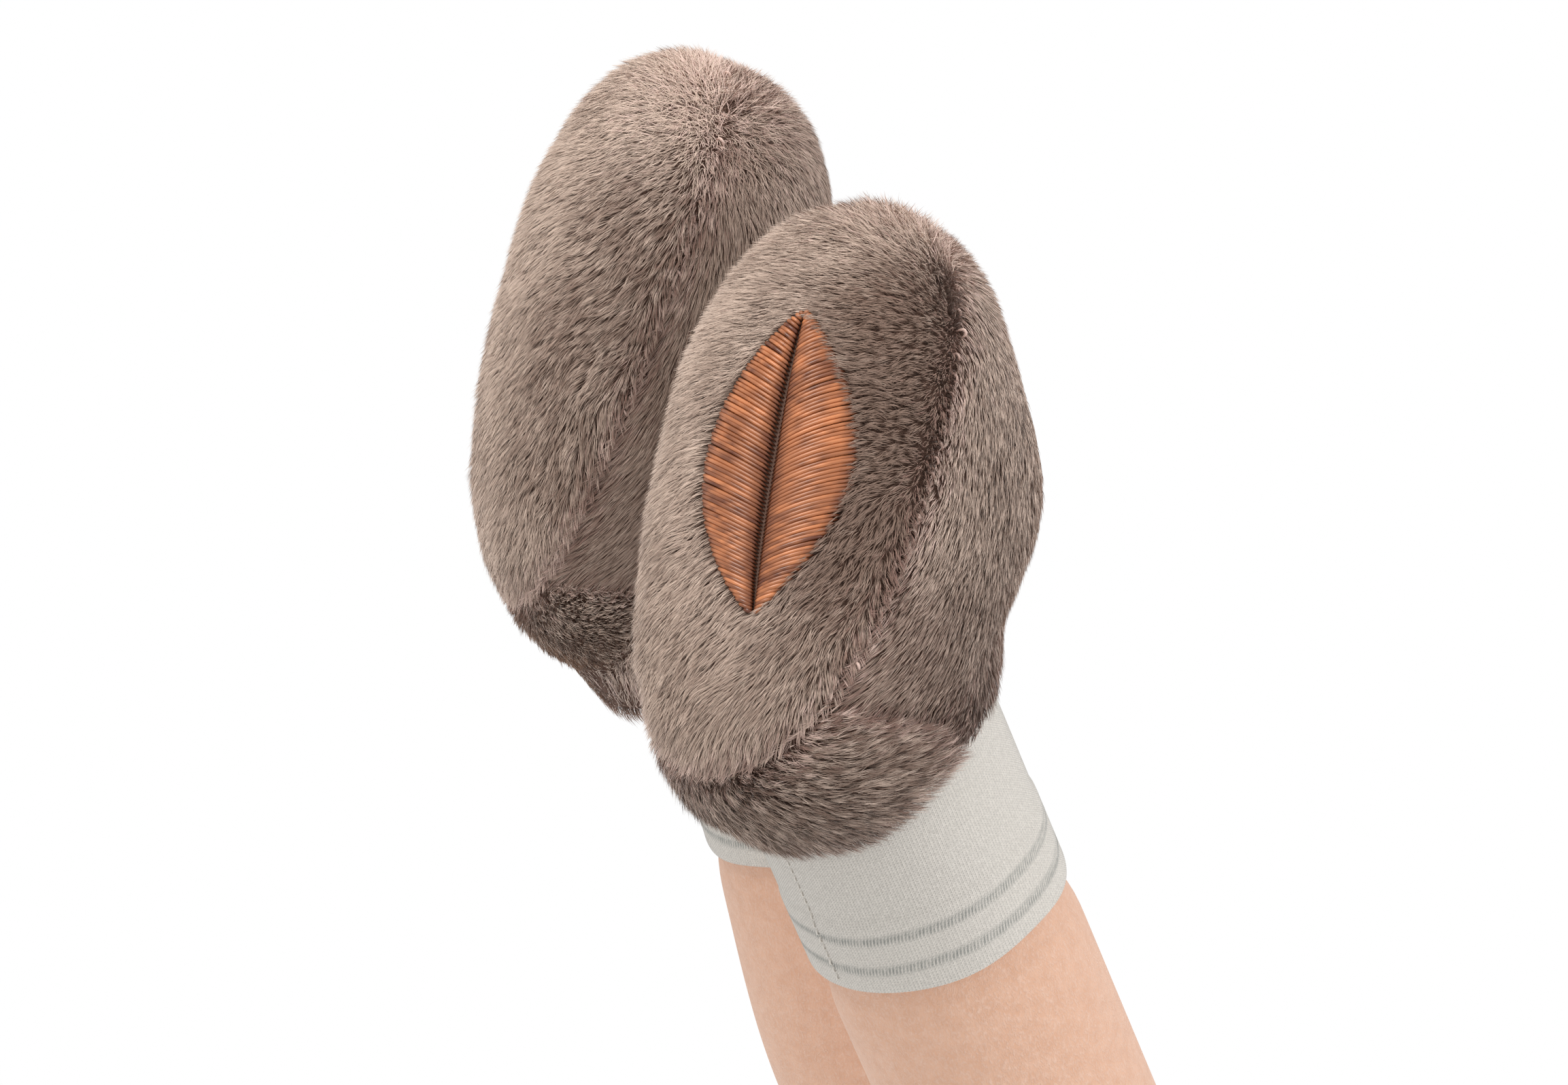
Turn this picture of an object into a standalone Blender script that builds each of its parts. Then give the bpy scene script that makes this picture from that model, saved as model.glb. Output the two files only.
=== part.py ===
"""The stuffed legs of a soft puppet, with knit cuffs and plush slippers, hanging from a sewn hem band.

Metres, +Z up. The origin is on the flat top fold of the hem band, where the puppet's body is sewn on.
The legs hang down along -Z and the puppet looks along -Y, so its left leg is at +X.
"""

import math

import bmesh
import bpy
from mathutils import Matrix, Vector

# Fits: the gap between touching pieces, and sewing thread
SEAT = 0.0003
THREAD = 0.0008
SEAM_GAP = THREAD + 2 * SEAT

# Hem band: a strip of body fabric folded over the flat tops of both legs
BAND_WIDTH = 0.136
BAND_HEIGHT = 0.020
BAND_WALL = 0.0022
BAND_EDGE = 0.0008
TOPSTITCH_RISE = 0.0045
TOPSTITCH_PITCH = 0.0040
TOPSTITCH_WAVE = 0.0004

# Legs: stuffed tubes of brushed fabric, flat at the top and round at the ankle
HIP_SPACING = 0.077
HIP_DROP = 0.0045
LEG_LENGTH = 0.170
LEG_RADIUS = 0.0198
LEG_FABRIC = 0.0012
LEG_TOP_WIDTH = 0.050
LEG_TOP_FLAT = 0.0030
LEG_TOP_TAPER = 0.036
LEG_STUFFED_FROM = 0.014
ANKLE_RADIUS = 0.0155
ANKLE_NECK = 0.020

# Cuffs: knit tubes that grip the leg at their hem and go into the slipper
CUFF_INNER_RADIUS = 0.0187
CUFF_WALL = 0.0014
CUFF_HEM_WALL = 0.0017
CUFF_HEM_FOLD = 0.0130
CUFF_GRIP = 0.0140
CUFF_SEAM_TURN = 22.0
CUFF_LIP = 0.0006
LEG_SWELL = 0.0080

# Slippers: four plush panels round a stuffed core, in a frame with its origin at the ankle
SLIPPER_LENGTH = 0.0936
SLIPPER_WIDTH = 0.0502
SLIPPER_HEIGHT = 0.0478
SLIPPER_AHEAD = 0.0195
SLIPPER_BELOW = 0.0067
SLIPPER_FULLNESS = 2.5
SLIPPER_ROUNDNESS = 2.2
TOE_TAPER = 0.033
PLUSH_WALL = 0.0025
SOLE_SEAM_HEIGHT = -0.0070
SOLE_SEAM_RISE = 0.15
SOLE_SEAM_ROLL = 0.20
HEEL_SEAM_AHEAD = -0.0317
HEEL_SEAM_LEAN = 0.195
INSTEP_SEAM_FROM = 30.0

# Satin-stitched leaf on the left sole
LEAF_LENGTH = 0.046
LEAF_WIDTH = 0.024
LEAF_AHEAD = 0.001
LEAF_ASIDE = -0.004
LEAF_VEIN = 0.0010
LEAF_RAISE = 0.0010
LEAF_FULLNESS = 0.8

# Rest pose of each foot: turn about the leg, toe drop, and roll, in degrees, and how far up its cuff reaches
FEET = {
    "left": {"side": 1, "turn": -43.0, "drop": 33.6, "roll": 1.7, "cuff_reach": 0.045},
    "right": {"side": -1, "turn": -5.5, "drop": 53.0, "roll": -3.0, "cuff_reach": 0.064},
}

# Facets
LEG_SIDES = 20
SLIPPER_SIDES = 24
SLIPPER_RINGS = 14
CUFF_STEPS = 28
SEAM_POINTS = 26
SOLE_SEAM_POINTS = 44
LEAF_POINTS = 9
ANKLE_LATITUDES = (30, 55, 75)
BEAD_LATITUDES = (70, 35, 0)
SOCKET_RINGS = 10
TAPER_SHARES = (0.2, 0.4, 0.6, 0.8, 1.0)
HALVINGS = 40
SHARP_ANGLE = 40.0

# Worked out from the above
TAB_THICKNESS = 2 * LEG_FABRIC
BAND_SLOT = TAB_THICKNESS + 2 * SEAT
BAND_THICKNESS = BAND_SLOT + 2 * BAND_WALL
HIP_Z = -(BAND_HEIGHT + HIP_DROP)
LEG_BEAD = LEG_FABRIC + SEAT
CUFF_OUTER_RADIUS = CUFF_INNER_RADIUS + CUFF_HEM_WALL
GRIP_RADIUS = CUFF_INNER_RADIUS - SEAT
OPENING_RADIUS = CUFF_OUTER_RADIUS + SEAT

# The ankle opening goes a little past the ankle, and cutters go well past everything
OPENING_DEPTH = 0.0040
BEYOND = 0.100

for old in list(bpy.data.objects):
    bpy.data.objects.remove(old)

PARTS = bpy.data.collections.new("puppet_legs")
CUTTERS = bpy.data.collections.new("cutters")
bpy.context.scene.collection.children.link(PARTS)
bpy.context.scene.collection.children.link(CUTTERS)


def material(name, colour, roughness):
    """A cloth material of one colour."""
    made = bpy.data.materials.new(name)
    made.use_nodes = True
    shader = made.node_tree.nodes["Principled BSDF"]
    shader.inputs["Base Color"].default_value = (*colour, 1.0)
    shader.inputs["Roughness"].default_value = roughness
    shader.inputs["Metallic"].default_value = 0.0
    return made


SKIN = material("brushed_peach_fabric", (0.72, 0.44, 0.29), 0.95)
FILL = material("white_fibre_fill", (0.85, 0.85, 0.83), 1.0)
PLUSH = material("taupe_plush", (0.28, 0.22, 0.18), 0.95)
KNIT = material("pale_grey_knit", (0.62, 0.60, 0.57), 0.9)
PEACH_THREAD = material("peach_thread", (0.66, 0.40, 0.27), 0.7)
PALE_THREAD = material("pale_thread", (0.70, 0.58, 0.53), 0.7)
COPPER_THREAD = material("copper_thread", (0.55, 0.20, 0.07), 0.4)


def place(obj, parent, *, cutter=False):
    """Puts an object under its parent empty, as a part or as a hidden cutter."""
    (CUTTERS if cutter else PARTS).objects.link(obj)
    obj.parent = parent
    if cutter:
        obj.hide_render = True
        obj.display_type = "WIRE"
    return obj


def mesh_part(name, shape, finish, parent, *, cutter=False):
    """An object from a bmesh, smooth but for its sharp edges."""
    mesh = bpy.data.meshes.new(name)
    bmesh.ops.recalc_face_normals(shape, faces=shape.faces)
    shape.to_mesh(mesh)
    shape.free()
    mesh.shade_smooth()
    mesh.set_sharp_from_angle(angle=math.radians(SHARP_ANGLE))
    if finish:
        mesh.materials.append(finish)
    return place(bpy.data.objects.new(name, mesh), parent, cutter=cutter)


def boolean(obj, cutter, operation="DIFFERENCE"):
    """Cuts an object by another, or keeps what they share."""
    modifier = obj.modifiers.new(f"{operation.lower()}_{cutter.name}", "BOOLEAN")
    modifier.operation = operation
    modifier.object = cutter


def box(low, high):
    """A box between two corners."""
    shape = bmesh.new()
    bmesh.ops.create_cube(shape, size=1.0)
    low, high = Vector(low), Vector(high)
    bmesh.ops.scale(shape, vec=high - low, verts=shape.verts)
    bmesh.ops.translate(shape, vec=(low + high) / 2, verts=shape.verts)
    return shape


def prism(outline, low, high, to_point):
    """A straight prism: an outline of pairs carried from low to high, which to_point puts in space."""
    shape = bmesh.new()
    rings = [[shape.verts.new(to_point(a, b, along)) for a, b in outline] for along in (low, high)]
    for ring in rings:
        shape.faces.new(ring)
    count = len(outline)
    for i in range(count):
        j = (i + 1) % count
        shape.faces.new((rings[0][i], rings[0][j], rings[1][j], rings[1][i]))
    return shape


def loft(sections, sides):
    """A closed loft through level oval sections, each a height with its half width and half depth."""
    shape = bmesh.new()
    turns = [2 * math.pi * i / sides for i in range(sides)]
    rings = [
        [shape.verts.new((wide * math.cos(turn), deep * math.sin(turn), height)) for turn in turns]
        for height, wide, deep in sections
    ]
    shape.faces.new(rings[0])
    shape.faces.new(rings[-1])
    for upper, lower in zip(rings, rings[1:]):
        for i in range(sides):
            j = (i + 1) % sides
            shape.faces.new((upper[i], upper[j], lower[j], lower[i]))
    return shape


def thread(name, points, finish, parent, *, closed=False):
    """A sewing thread through points, as a thin tube with closed ends or as a closed ring."""
    curve = bpy.data.curves.new(name, "CURVE")
    curve.dimensions = "3D"
    curve.bevel_depth = THREAD / 2
    curve.bevel_resolution = 0
    curve.use_fill_caps = True
    spline = curve.splines.new("POLY")
    spline.points.add(len(points) - 1)
    for point, position in zip(spline.points, points):
        point.co = (*position, 1.0)
    spline.use_cyclic_u = closed
    curve.materials.append(finish)
    place(bpy.data.objects.new(name, curve), parent)


def empty(name, parent, location, rotation=None):
    """An empty that carries what moves together."""
    made = bpy.data.objects.new(name, None)
    PARTS.objects.link(made)
    made.parent = parent
    made.location = location
    if rotation:
        made.rotation_euler = rotation.to_euler()
    made.empty_display_size = 0.01
    return made


def ease(share):
    """Goes smoothly from 0 to 1."""
    share = min(max(share, 0.0), 1.0)
    return share * share * (3 - 2 * share)


# Hem band with the tabs of both legs
def hem_band():
    """A strip folded over, crease up, open below for the leg tabs, with topstitching on both faces."""
    band = mesh_part(
        "hem_band",
        box((-BAND_WIDTH / 2, -BAND_THICKNESS / 2, -BAND_HEIGHT), (BAND_WIDTH / 2, BAND_THICKNESS / 2, 0.0)),
        SKIN,
        None,
    )
    edge = band.modifiers.new("soft_edges", "BEVEL")
    edge.width = BAND_EDGE
    edge.segments = 2
    edge.limit_method = "ANGLE"
    slot = mesh_part(
        "hem_slot",
        box((-BEYOND, -BAND_SLOT / 2, -BEYOND), (BEYOND, BAND_SLOT / 2, -BAND_WALL)),
        None,
        None,
        cutter=True,
    )
    boolean(band, slot)
    stitches = round((BAND_WIDTH - 2 * TOPSTITCH_RISE) / TOPSTITCH_PITCH)
    for face, way in (("front", -1), ("back", 1)):
        level = -BAND_HEIGHT + TOPSTITCH_RISE
        depth = way * (BAND_THICKNESS / 2 + SEAT + THREAD / 2)
        points = [
            ((i - stitches / 2) * TOPSTITCH_PITCH, depth, level + TOPSTITCH_WAVE * (-1) ** i)
            for i in range(stitches + 1)
        ]
        thread(f"hem_topstitch_{face}", points, PEACH_THREAD, None)


def leg_tab(name, side):
    """The flat top of a leg, sewn into the band, down to just over the fold that it swings on."""
    middle = side * HIP_SPACING / 2
    mesh_part(
        f"{name}_leg_tab",
        box(
            (middle - LEG_TOP_WIDTH / 2, -TAB_THICKNESS / 2, HIP_Z + LEG_BEAD + SEAT),
            (middle + LEG_TOP_WIDTH / 2, TAB_THICKNESS / 2, -BAND_WALL - SEAT),
        ),
        SKIN,
        None,
    )


# Legs, in a frame with its origin on the hip fold
def leg_radius(below, reach):
    """Radius of the round leg at a distance below the hip: gripped under the cuff, narrow at the ankle."""
    up = LEG_LENGTH - below
    free = GRIP_RADIUS + (LEG_RADIUS - GRIP_RADIUS) * ease((up - reach) / LEG_SWELL)
    return ANKLE_RADIUS + (free - ANKLE_RADIUS) * ease((up - ANKLE_NECK) / (reach - CUFF_GRIP - ANKLE_NECK))


def leg_section(below, reach, inset):
    """Height, half width and half depth of the leg, drawn in by an inset."""
    rounding = ease((below - LEG_TOP_FLAT) / LEG_TOP_TAPER)
    radius = leg_radius(below, reach)
    wide = LEG_TOP_WIDTH / 2 + (radius - LEG_TOP_WIDTH / 2) * rounding
    deep = LEG_BEAD + (radius - LEG_BEAD) * rounding
    return -below, wide - inset, deep - inset


def leg_levels(reach):
    """Distances below the hip where the leg's form changes."""
    swell = LEG_LENGTH - reach
    return [
        LEG_TOP_FLAT,
        *(LEG_TOP_FLAT + LEG_TOP_TAPER * share for share in TAPER_SHARES),
        swell - LEG_SWELL,
        swell - LEG_SWELL / 2,
        swell,
        swell + CUFF_GRIP,
        (swell + CUFF_GRIP + LEG_LENGTH - ANKLE_NECK) / 2,
        LEG_LENGTH - ANKLE_NECK,
        LEG_LENGTH,
    ]


def leg_form(reach, inset, top):
    """The leg from its top sections to its round end at the ankle, drawn in by an inset."""
    start = -top[-1][0]
    sections = [*top, *(leg_section(below, reach, inset) for below in leg_levels(reach) if below > start)]
    end = ANKLE_RADIUS - inset
    for degrees in ANKLE_LATITUDES:
        turn = math.radians(degrees)
        sections.append((-LEG_LENGTH - end * math.sin(turn), end * math.cos(turn), end * math.cos(turn)))
    return loft(sections, LEG_SIDES)


def leg(name, side, reach, hip):
    """Fabric skin, open in a slit at its flat top, with its fibre fill and the thread of its inner seam."""
    half = LEG_TOP_WIDTH / 2
    bead = [
        (LEG_BEAD * math.sin(math.radians(rise)), half, LEG_BEAD * math.cos(math.radians(rise)))
        for rise in BEAD_LATITUDES
    ]
    skin = mesh_part(f"{name}_leg_skin", leg_form(reach, 0.0, bead), SKIN, hip)
    slit = [(2 * LEG_BEAD, half - LEG_FABRIC, LEG_BEAD - LEG_FABRIC)]
    hollow = mesh_part(f"{name}_leg_hollow", leg_form(reach, LEG_FABRIC, slit), None, hip, cutter=True)
    boolean(skin, hollow)
    inset = LEG_FABRIC + SEAT
    stuffed = [leg_section(LEG_STUFFED_FROM, reach, inset)]
    mesh_part(f"{name}_leg_stuffing", leg_form(reach, inset, stuffed), FILL, hip)
    hem = LEG_LENGTH - reach - SEAM_GAP
    levels = [below for below in leg_levels(reach) if below < hem] + [hem]
    sections = [leg_section(below, reach, -(SEAT + THREAD / 2)) for below in levels]
    seam = [(-side * wide, 0.0, height) for height, wide, _ in sections]
    thread(f"{name}_leg_inseam", seam, PEACH_THREAD, hip)


# Cuffs, in a frame with its origin at the ankle and Z up the leg
def cuff(name, reach, heel_turn, ankle):
    """A knit tube turned from its wall, thicker over the folded hem, with the thread of its seam."""
    thin = CUFF_INNER_RADIUS + CUFF_WALL
    fold = reach - CUFF_HEM_FOLD
    profile = [
        (CUFF_INNER_RADIUS + CUFF_LIP, reach),
        (CUFF_OUTER_RADIUS - CUFF_LIP, reach),
        (CUFF_OUTER_RADIUS, reach - CUFF_LIP),
        (CUFF_OUTER_RADIUS, fold),
        (thin, fold - 2 * CUFF_LIP),
        (thin, 0.0),
        (CUFF_INNER_RADIUS, 0.0),
        (CUFF_INNER_RADIUS, reach - CUFF_LIP),
    ]
    mesh = bpy.data.meshes.new(f"{name}_cuff")
    edges = [(i, (i + 1) % len(profile)) for i in range(len(profile))]
    mesh.from_pydata([(radius, 0.0, height) for radius, height in profile], edges, [])
    mesh.materials.append(KNIT)
    tube = place(bpy.data.objects.new(f"{name}_cuff", mesh), ankle)
    screw = tube.modifiers.new("turn", "SCREW")
    screw.steps = CUFF_STEPS
    screw.render_steps = CUFF_STEPS
    screw.use_merge_vertices = True
    screw.merge_threshold = 0.00005
    turn = math.radians(heel_turn + CUFF_SEAM_TURN)
    out = CUFF_OUTER_RADIUS + SEAT + THREAD / 2
    seam = [
        (out * math.cos(turn), out * math.sin(turn), height)
        for height in (reach - CUFF_LIP, reach - CUFF_HEM_FOLD / 2, fold)
    ]
    thread(f"{name}_cuff_seam", seam, PALE_THREAD, ankle)


# Slippers, in a frame with its origin at the ankle, Y to the toe and Z to the instep
MIDDLE = Vector((0.0, SLIPPER_AHEAD, -SLIPPER_BELOW))
SOLE_SEAM = (
    MIDDLE + Vector((0.0, 0.0, SOLE_SEAM_HEIGHT)),
    Vector((-SOLE_SEAM_ROLL, -SOLE_SEAM_RISE, 1.0)).normalized(),
)
HEEL_SEAM = (
    MIDDLE + Vector((0.0, HEEL_SEAM_AHEAD, 0.0)),
    Vector((0.0, 1.0, -HEEL_SEAM_LEAN)).normalized(),
)
INSTEP_SEAM = (MIDDLE, Vector((1.0, 0.0, 0.0)))


def slipper_spread(t, grow):
    """Half width and half height of the slipper's section at t, from -1 at the heel to 1 at the toe."""
    full = max(1 - abs(t) ** SLIPPER_FULLNESS, 0.0) ** (1 / SLIPPER_FULLNESS)
    wide = (SLIPPER_WIDTH / 2 + grow) * (1 - TOE_TAPER * t) * full
    high = (SLIPPER_HEIGHT / 2 + grow) * (1 - TOE_TAPER / 2 * t) * full
    return wide, high


def slipper_form(grow):
    """The swelling form of the slipper, grown outwards: a sphere whose points go to the slipper's surface."""
    shape = bmesh.new()
    bmesh.ops.create_uvsphere(shape, u_segments=SLIPPER_SIDES, v_segments=SLIPPER_RINGS, radius=1.0)
    for vert in shape.verts:
        t = vert.co.z
        wide, high = slipper_spread(t, grow)
        flat = Vector((vert.co.x, vert.co.y))
        flat = flat.normalized() if flat.length > SEAT else Vector((0.0, 0.0))
        power = 2 / SLIPPER_ROUNDNESS
        across = math.copysign(abs(flat.x) ** power, flat.x) * wide
        up = math.copysign(abs(flat.y) ** power, flat.y) * high
        vert.co = MIDDLE + Vector((across, t * (SLIPPER_LENGTH / 2 + grow), up))
    return shape


def in_slipper(point, grow):
    """Whether a point lies inside the slipper's form, grown outwards."""
    inner = point - MIDDLE
    t = inner.y / (SLIPPER_LENGTH / 2 + grow)
    wide, high = slipper_spread(t, grow)
    if min(wide, high) <= 0:
        return False
    return (abs(inner.x) / wide) ** SLIPPER_ROUNDNESS + (abs(inner.z) / high) ** SLIPPER_ROUNDNESS < 1


def seam_point(seam, ahead, turn, grow):
    """Where a ray in the plane of a seam, turned from its ahead direction, leaves the slipper's form."""
    start, normal = seam
    ray = Matrix.Rotation(math.radians(turn), 3, normal) @ (ahead - normal * ahead.dot(normal)).normalized()
    near, far = 0.0, BEYOND
    for _ in range(HALVINGS):
        middle = (near + far) / 2
        if in_slipper(start + ray * middle, grow):
            near = middle
        else:
            far = middle
    return start + ray * near


def above(seam, point):
    """How far a point lies on the far side of a seam's plane."""
    start, normal = seam
    return (point - start).dot(normal)


def region(seam, way):
    """The space on one side of a seam's plane, half a seam gap from it."""
    start, normal = seam
    shape = box((-BEYOND, -BEYOND, SEAM_GAP / 2), (BEYOND, BEYOND, BEYOND))
    turn = Vector((0.0, 0.0, 1.0)).rotation_difference(way * normal).to_matrix().to_4x4()
    bmesh.ops.transform(shape, matrix=Matrix.Translation(start) @ turn, verts=shape.verts)
    return shape


def along_axis(shape, axis, start):
    """Turns a shape made along Z to lie along an axis through the ankle, from a start on it."""
    turn = Vector((0.0, 0.0, 1.0)).rotation_difference(axis).to_matrix().to_4x4()
    bmesh.ops.transform(shape, matrix=turn @ Matrix.Translation((0.0, 0.0, start)), verts=shape.verts)
    return shape


def opening(axis):
    """The ankle opening: a round cut along the leg from a little inside the ankle."""
    shape = bmesh.new()
    bmesh.ops.create_cone(
        shape,
        cap_ends=True,
        segments=CUFF_STEPS,
        radius1=OPENING_RADIUS,
        radius2=OPENING_RADIUS,
        depth=BEYOND,
    )
    return along_axis(shape, axis, BEYOND / 2 - OPENING_DEPTH)


def ankle_socket():
    """The hollow that the round end of the leg sits in."""
    shape = bmesh.new()
    radius = ANKLE_RADIUS + 2 * SEAT
    bmesh.ops.create_uvsphere(shape, u_segments=LEG_SIDES, v_segments=SOCKET_RINGS, radius=radius)
    return shape


def clear_of(points, axis):
    """The points that lie clear of the ankle opening and above the sole seam."""
    outside = OPENING_RADIUS + SEAM_GAP
    return [p for p in points if (p - axis * p.dot(axis)).length > outside and above(SOLE_SEAM, p) > SEAM_GAP]


def slipper_seams(name, side, axis, foot):
    """Threads in the middle of the wall: round the sole, over the instep and down both sides of the heel."""
    grow = -PLUSH_WALL / 2
    toe, instep = Vector((0.0, 1.0, 0.0)), Vector((0.0, 0.0, 1.0))
    loop = [seam_point(SOLE_SEAM, toe, 360 * i / SOLE_SEAM_POINTS, grow) for i in range(SOLE_SEAM_POINTS)]
    thread(f"{name}_sole_seam", loop, PALE_THREAD, foot, closed=True)
    turns = [180 * i / (SEAM_POINTS - 1) for i in range(SEAM_POINTS)]
    over = clear_of([seam_point(INSTEP_SEAM, toe, turn - INSTEP_SEAM_FROM, grow) for turn in turns], axis)
    thread(f"{name}_instep_seam", over, PALE_THREAD, foot)
    for edge, way in (("outer", -side), ("inner", side)):
        down = clear_of([seam_point(HEEL_SEAM, instep, way * turn, grow) for turn in turns], axis)
        thread(f"{name}_heel_seam_{edge}", down, PALE_THREAD, foot)


def slipper(name, side, axis, foot):
    """Sole, two sides and heel of plush round a stuffed core, open at the ankle."""
    inside = mesh_part(f"{name}_slipper_inside", slipper_form(-PLUSH_WALL), None, foot, cutter=True)
    mouth = mesh_part(f"{name}_slipper_mouth", opening(axis), None, foot, cutter=True)
    spaces = {
        where: mesh_part(f"{name}_{where}", region(seam, way), None, foot, cutter=True)
        for where, seam, way in (
            ("below_sole_seam", SOLE_SEAM, -1),
            ("above_sole_seam", SOLE_SEAM, 1),
            ("before_heel_seam", HEEL_SEAM, 1),
            ("behind_heel_seam", HEEL_SEAM, -1),
            ("outer_half", INSTEP_SEAM, -side),
            ("inner_half", INSTEP_SEAM, side),
        )
    }
    panels = {
        "sole": ("below_sole_seam",),
        "outer_side": ("above_sole_seam", "before_heel_seam", "outer_half"),
        "inner_side": ("above_sole_seam", "before_heel_seam", "inner_half"),
        "heel": ("above_sole_seam", "behind_heel_seam"),
    }
    for panel, within in panels.items():
        made = mesh_part(f"{name}_slipper_{panel}", slipper_form(0.0), PLUSH, foot)
        boolean(made, inside)
        for where in within:
            boolean(made, spaces[where], "INTERSECT")
        if panel != "sole":
            boolean(made, mouth)
    core = mesh_part(f"{name}_slipper_stuffing", slipper_form(-PLUSH_WALL - SEAT), FILL, foot)
    boolean(core, mesh_part(f"{name}_ankle_socket", ankle_socket(), None, foot, cutter=True))
    boolean(core, mouth)
    slipper_seams(name, side, axis, foot)


def sole_leaf(foot):
    """A leaf of satin stitch in two halves beside its vein, raised a little from the sole."""
    under = mesh_part("leaf_under", slipper_form(SEAT), None, foot, cutter=True)
    half = LEAF_VEIN / 2
    bow = LEAF_WIDTH / 2 - half
    for name, way in (("outer", -1), ("inner", 1)):
        arc = []
        for i in range(LEAF_POINTS):
            share = i / (LEAF_POINTS - 1)
            along = (share - 0.5) * LEAF_LENGTH
            arc.append((way * (half + bow * math.sin(math.pi * share) ** LEAF_FULLNESS), along))
        middle = MIDDLE + Vector((LEAF_ASIDE, LEAF_AHEAD, 0.0))
        field = prism(arc, -BEYOND, 0.0, lambda across, along, up: middle + Vector((across, along, up)))
        cutter = mesh_part(f"leaf_{name}_field", field, None, foot, cutter=True)
        made = mesh_part(f"left_sole_leaf_{name}", slipper_form(SEAT + LEAF_RAISE), COPPER_THREAD, foot)
        boolean(made, under)
        boolean(made, cutter, "INTERSECT")


def foot_turn(pose):
    """How the foot lies against the leg: turned about it, toes dropped, and rolled."""
    turn = Matrix.Rotation(math.radians(pose["turn"] + 180), 3, "Z")
    drop = Matrix.Rotation(math.radians(-pose["drop"]), 3, "X")
    roll = Matrix.Rotation(math.radians(pose["roll"]), 3, "Y")
    return turn @ drop @ roll


hem_band()
for name, pose in FEET.items():
    side, reach = pose["side"], pose["cuff_reach"]
    leg_tab(name, side)
    hip = empty(f"{name}_hip", None, (side * HIP_SPACING / 2, 0.0, HIP_Z))
    leg(name, side, reach, hip)
    ankle = empty(f"{name}_ankle", hip, (0.0, 0.0, -LEG_LENGTH))
    cuff(name, reach, 90 + pose["turn"], ankle)
    turned = foot_turn(pose)
    foot = empty(f"{name}_foot", ankle, (0.0, 0.0, 0.0), turned)
    slipper(name, side, turned.inverted() @ Vector((0.0, 0.0, 1.0)), foot)
    if name == "left":
        sole_leaf(foot)
bpy.context.view_layer.update()
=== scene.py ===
"""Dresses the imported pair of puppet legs: stuffed velour legs, knit cuffs and plush slippers."""

import math

import bpy
import numpy as np
from bpy.props import FloatProperty, FloatVectorProperty, PointerProperty
from mathutils import Matrix, Vector


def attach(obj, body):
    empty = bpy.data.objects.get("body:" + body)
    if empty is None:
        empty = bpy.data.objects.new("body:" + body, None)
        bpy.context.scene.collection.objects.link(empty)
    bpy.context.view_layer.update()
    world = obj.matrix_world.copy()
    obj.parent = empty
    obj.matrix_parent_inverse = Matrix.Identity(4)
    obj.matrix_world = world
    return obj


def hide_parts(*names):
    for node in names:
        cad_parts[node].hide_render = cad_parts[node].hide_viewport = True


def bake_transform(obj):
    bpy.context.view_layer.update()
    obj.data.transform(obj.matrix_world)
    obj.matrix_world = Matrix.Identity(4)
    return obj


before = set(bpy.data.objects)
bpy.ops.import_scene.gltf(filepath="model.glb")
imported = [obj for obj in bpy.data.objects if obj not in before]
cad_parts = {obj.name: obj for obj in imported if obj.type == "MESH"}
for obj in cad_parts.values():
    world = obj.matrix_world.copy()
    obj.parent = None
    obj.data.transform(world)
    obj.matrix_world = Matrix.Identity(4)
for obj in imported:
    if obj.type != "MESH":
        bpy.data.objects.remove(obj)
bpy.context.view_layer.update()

bl_info = {
    "name": "Puppet legs",
    "version": (1, 0, 0),
    "blender": (4, 5, 0),
    "location": "3D View > Sidebar > Puppet legs",
    "description": "Stuffed velour puppet legs with knit cuffs and plush slippers",
    "category": "Object",
}

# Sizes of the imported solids, in metres and degrees
SEAT = 0.0003
BAND_WIDTH, BAND_HEIGHT, BAND_WALL, BAND_THICKNESS = 0.136, 0.020, 0.0022, 0.0074
TOPSTITCH_RISE, TOPSTITCH_PITCH = 0.0045, 0.0040
HIP_SPACING, HIP_Z, LEG_LENGTH = 0.077, -0.0245, 0.170
LEG_RADIUS, LEG_FABRIC = 0.0198, 0.0012
LEG_TOP_WIDTH, LEG_TOP_FLAT, LEG_TOP_TAPER, LEG_BEAD = 0.050, 0.0030, 0.036, 0.0015
ANKLE_RADIUS, ANKLE_NECK, GRIP_RADIUS, LEG_SWELL = 0.0155, 0.020, 0.0184, 0.0080
CUFF_INNER, CUFF_WALL, CUFF_OUTER = 0.0187, 0.0014, 0.0204
CUFF_HEM_FOLD, CUFF_GRIP, CUFF_SEAM_TURN, CUFF_LIP = 0.0130, 0.0140, 22.0, 0.0006
OPENING_RADIUS, OPENING_DEPTH = 0.0207, 0.0040
SLIPPER_LENGTH, SLIPPER_WIDTH, SLIPPER_HEIGHT = 0.0936, 0.0502, 0.0478
SLIPPER_FULLNESS, SLIPPER_ROUNDNESS, TOE_TAPER = 2.5, 2.2, 0.033
MIDDLE = np.array((0.0, 0.0195, -0.0067))
POLES = MIDDLE + np.array(((0, -1, 0), (0, 1, 0))) * SLIPPER_LENGTH / 2
TOE = MIDDLE + (-0.007, 0.0440, -0.0010)
LEAF_LENGTH, LEAF_WIDTH, LEAF_VEIN = 0.046, 0.024, 0.0010
LEAF_ASIDE, LEAF_AHEAD, LEAF_FULLNESS = -0.004, 0.001, 0.8
SAG_START, SAG_END = 0.012, 0.150

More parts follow.
